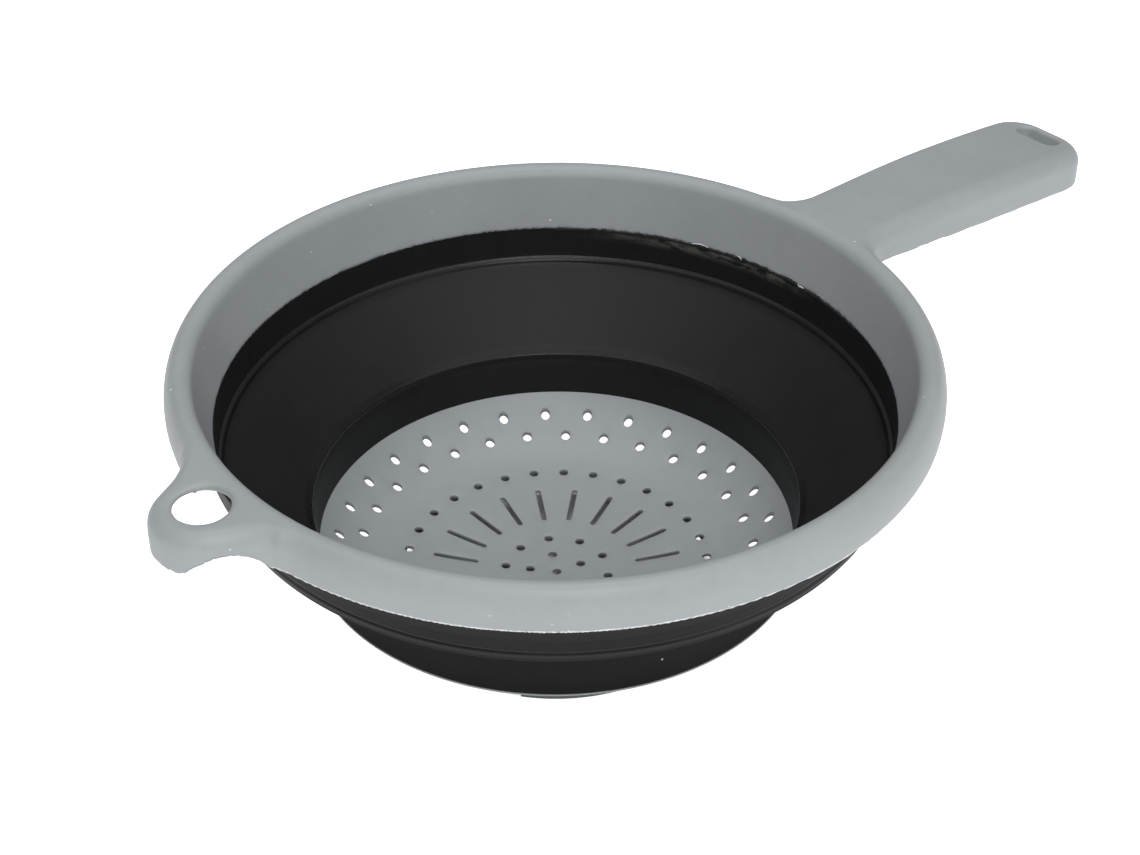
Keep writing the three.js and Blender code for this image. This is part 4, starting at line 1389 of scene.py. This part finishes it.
class COLANDER_OT_seam_flash(bpy.types.Operator):
    """Lay the torn film of rubber over the rim at the seam, with pale slivers along its edge as
    painted glints
    """

    bl_idname = "colander.seam_flash"
    bl_label = "Seam flash"

    def execute(self, context):
        scene = context.scene
        rim, flash = scene.colander_rim, scene.colander_flash
        angles, heights = torn_edge(flash)
        rubber = bpy.data.materials["black_rubber"]
        film = piece("seam_film", *seam_film(rim, flash, angles, -FILM_LAP, heights), rubber)
        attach(film, "rim")
        # The slivers' near-white colour is painted glints on the film's torn edge.
        pale = painted_glint()
        for number, (middle, half) in enumerate(SLIVERS):
            span = np.linspace(radians(middle - half), radians(middle + half), SLIVER_COUNT)
            edge = np.interp(span, angles, heights)
            bulge = SLIVER_BULGE * np.sin(np.linspace(0, pi, SLIVER_COUNT))
            sliver = seam_film(rim, flash, span, edge - SLIVER_DEPTH, edge + bulge)
            made = piece(f"seam_sliver_{number + 1}", *sliver, pale)
            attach(made, "rim")
        return {"FINISHED"}


class COLANDER_OT_strainer_dish(bpy.types.Operator):
    """Build the grey strainer dish with its holes, slots and foot ring"""

    bl_idname = "colander.strainer_dish"
    bl_label = "Strainer dish"

    def execute(self, context):
        scene = context.scene
        dish = scene.colander_dish
        material = grey_plastic(scene.colander_finishes)
        made = piece("grey_dish", *dish_mesh(dish), material)
        fuse(made, piece("grey_foot", *foot_mesh(dish), material))
        fuse(made, piece("grey_step", *step_mesh(scene.colander_wall), material))
        hold_place(made.data)
        made.data.shade_smooth()
        made.data.set_sharp_from_angle(angle=radians(DISH_SHARP))
        inside_cad_box(made)
        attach(made, "base")
        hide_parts("strainer_dish")
        return {"FINISHED"}


class COLANDER_OT_stage(bpy.types.Operator):
    """Set up the camera, the pale floor and the soft light"""

    bl_idname = "colander.stage"
    bl_label = "Stage"

    def execute(self, context):
        scene, studio = context.scene, context.scene.colander_studio
        shift = Vector((AXIS_X, 0, 0))
        place, aim = Vector(studio.camera_place) + shift, Vector(studio.camera_aim) + shift
        lens = bpy.data.cameras.new("camera")
        lens.lens, lens.sensor_width, lens.clip_end = studio.lens, 36, 50
        camera = bpy.data.objects.new("camera", lens)
        look = (aim - place).to_track_quat("-Z", "Y").to_matrix().to_4x4()
        camera.matrix_world = (
            Matrix.Translation(place) @ look @ Matrix.Rotation(-studio.camera_roll, 4, "Z")
        )
        scene.collection.objects.link(camera)
        scene.camera = camera
        world = bpy.data.worlds.new("sky")
        world.use_nodes = True
        background = world.node_tree.nodes["Background"]
        Nodes(world.node_tree).dress(background, Color=(1, 1, 1, 1), Strength=studio.sky)
        scene.world = world
        scene.view_settings.view_transform = "Standard"
        corners = FLOOR_REACH * np.array([(-1, -1, 0), (1, -1, 0), (1, 1, 0), (-1, 1, 0)])
        ground = piece("floor", corners, [(0, 1, 2, 3)], pale_floor(studio))
        for name, where, at, size, power in LAMPS:
            light = bpy.data.lights.new(name, "AREA")
            light.shape, light.size, light.energy = "DISK", size, power
            lamp = bpy.data.objects.new(name, light)
            lamp.location = Vector(where) + shift
            lamp.rotation_euler = (Vector(at) - Vector(where)).to_track_quat("-Z", "Y").to_euler()
            scene.collection.objects.link(lamp)
        return {"FINISHED"}


class COLANDER_PT_parts(bpy.types.Panel):
    """Lists the colander's pieces, sizes and finishes"""

    bl_label = "Colander"
    bl_idname = "COLANDER_PT_parts"
    bl_space_type = "VIEW_3D"
    bl_region_type = "UI"
    bl_category = "Colander"

    def draw(self, context):
        for kind in PIECES:
            self.layout.operator(kind.bl_idname)
        for title, group in GROUPS.items():
            box = self.layout.box()
            box.label(text=title.replace("colander_", "").capitalize())
            settings = getattr(context.scene, title)
            for name in group.__annotations__:
                box.prop(settings, name)


PIECES = (
    COLANDER_OT_stage,
    COLANDER_OT_rim_frame,
    COLANDER_OT_folding_wall,
    COLANDER_OT_seam_flash,
    COLANDER_OT_strainer_dish,
)
GROUPS = {
    "colander_rim": RimSizes,
    "colander_handle": HandleSizes,
    "colander_loop": LoopSizes,
    "colander_wall": WallSizes,
    "colander_flash": FlashSizes,
    "colander_dish": DishSizes,
    "colander_finishes": Finishes,
    "colander_studio": StudioSizes,
}


def register():
    for group in GROUPS.values():
        bpy.utils.register_class(group)
    for kind in (*PIECES, COLANDER_PT_parts):
        bpy.utils.register_class(kind)
    for name, group in GROUPS.items():
        setattr(bpy.types.Scene, name, PointerProperty(type=group))


def unregister():
    for name in GROUPS:
        delattr(bpy.types.Scene, name)
    for kind in (COLANDER_PT_parts, *PIECES):
        bpy.utils.unregister_class(kind)
    for group in GROUPS.values():
        bpy.utils.unregister_class(group)


def main():
    register()
    bpy.ops.colander.stage()
    bpy.ops.colander.rim_frame()
    bpy.ops.colander.folding_wall()
    bpy.ops.colander.seam_flash()
    bpy.ops.colander.strainer_dish()


if __name__ == "__main__":
    main()
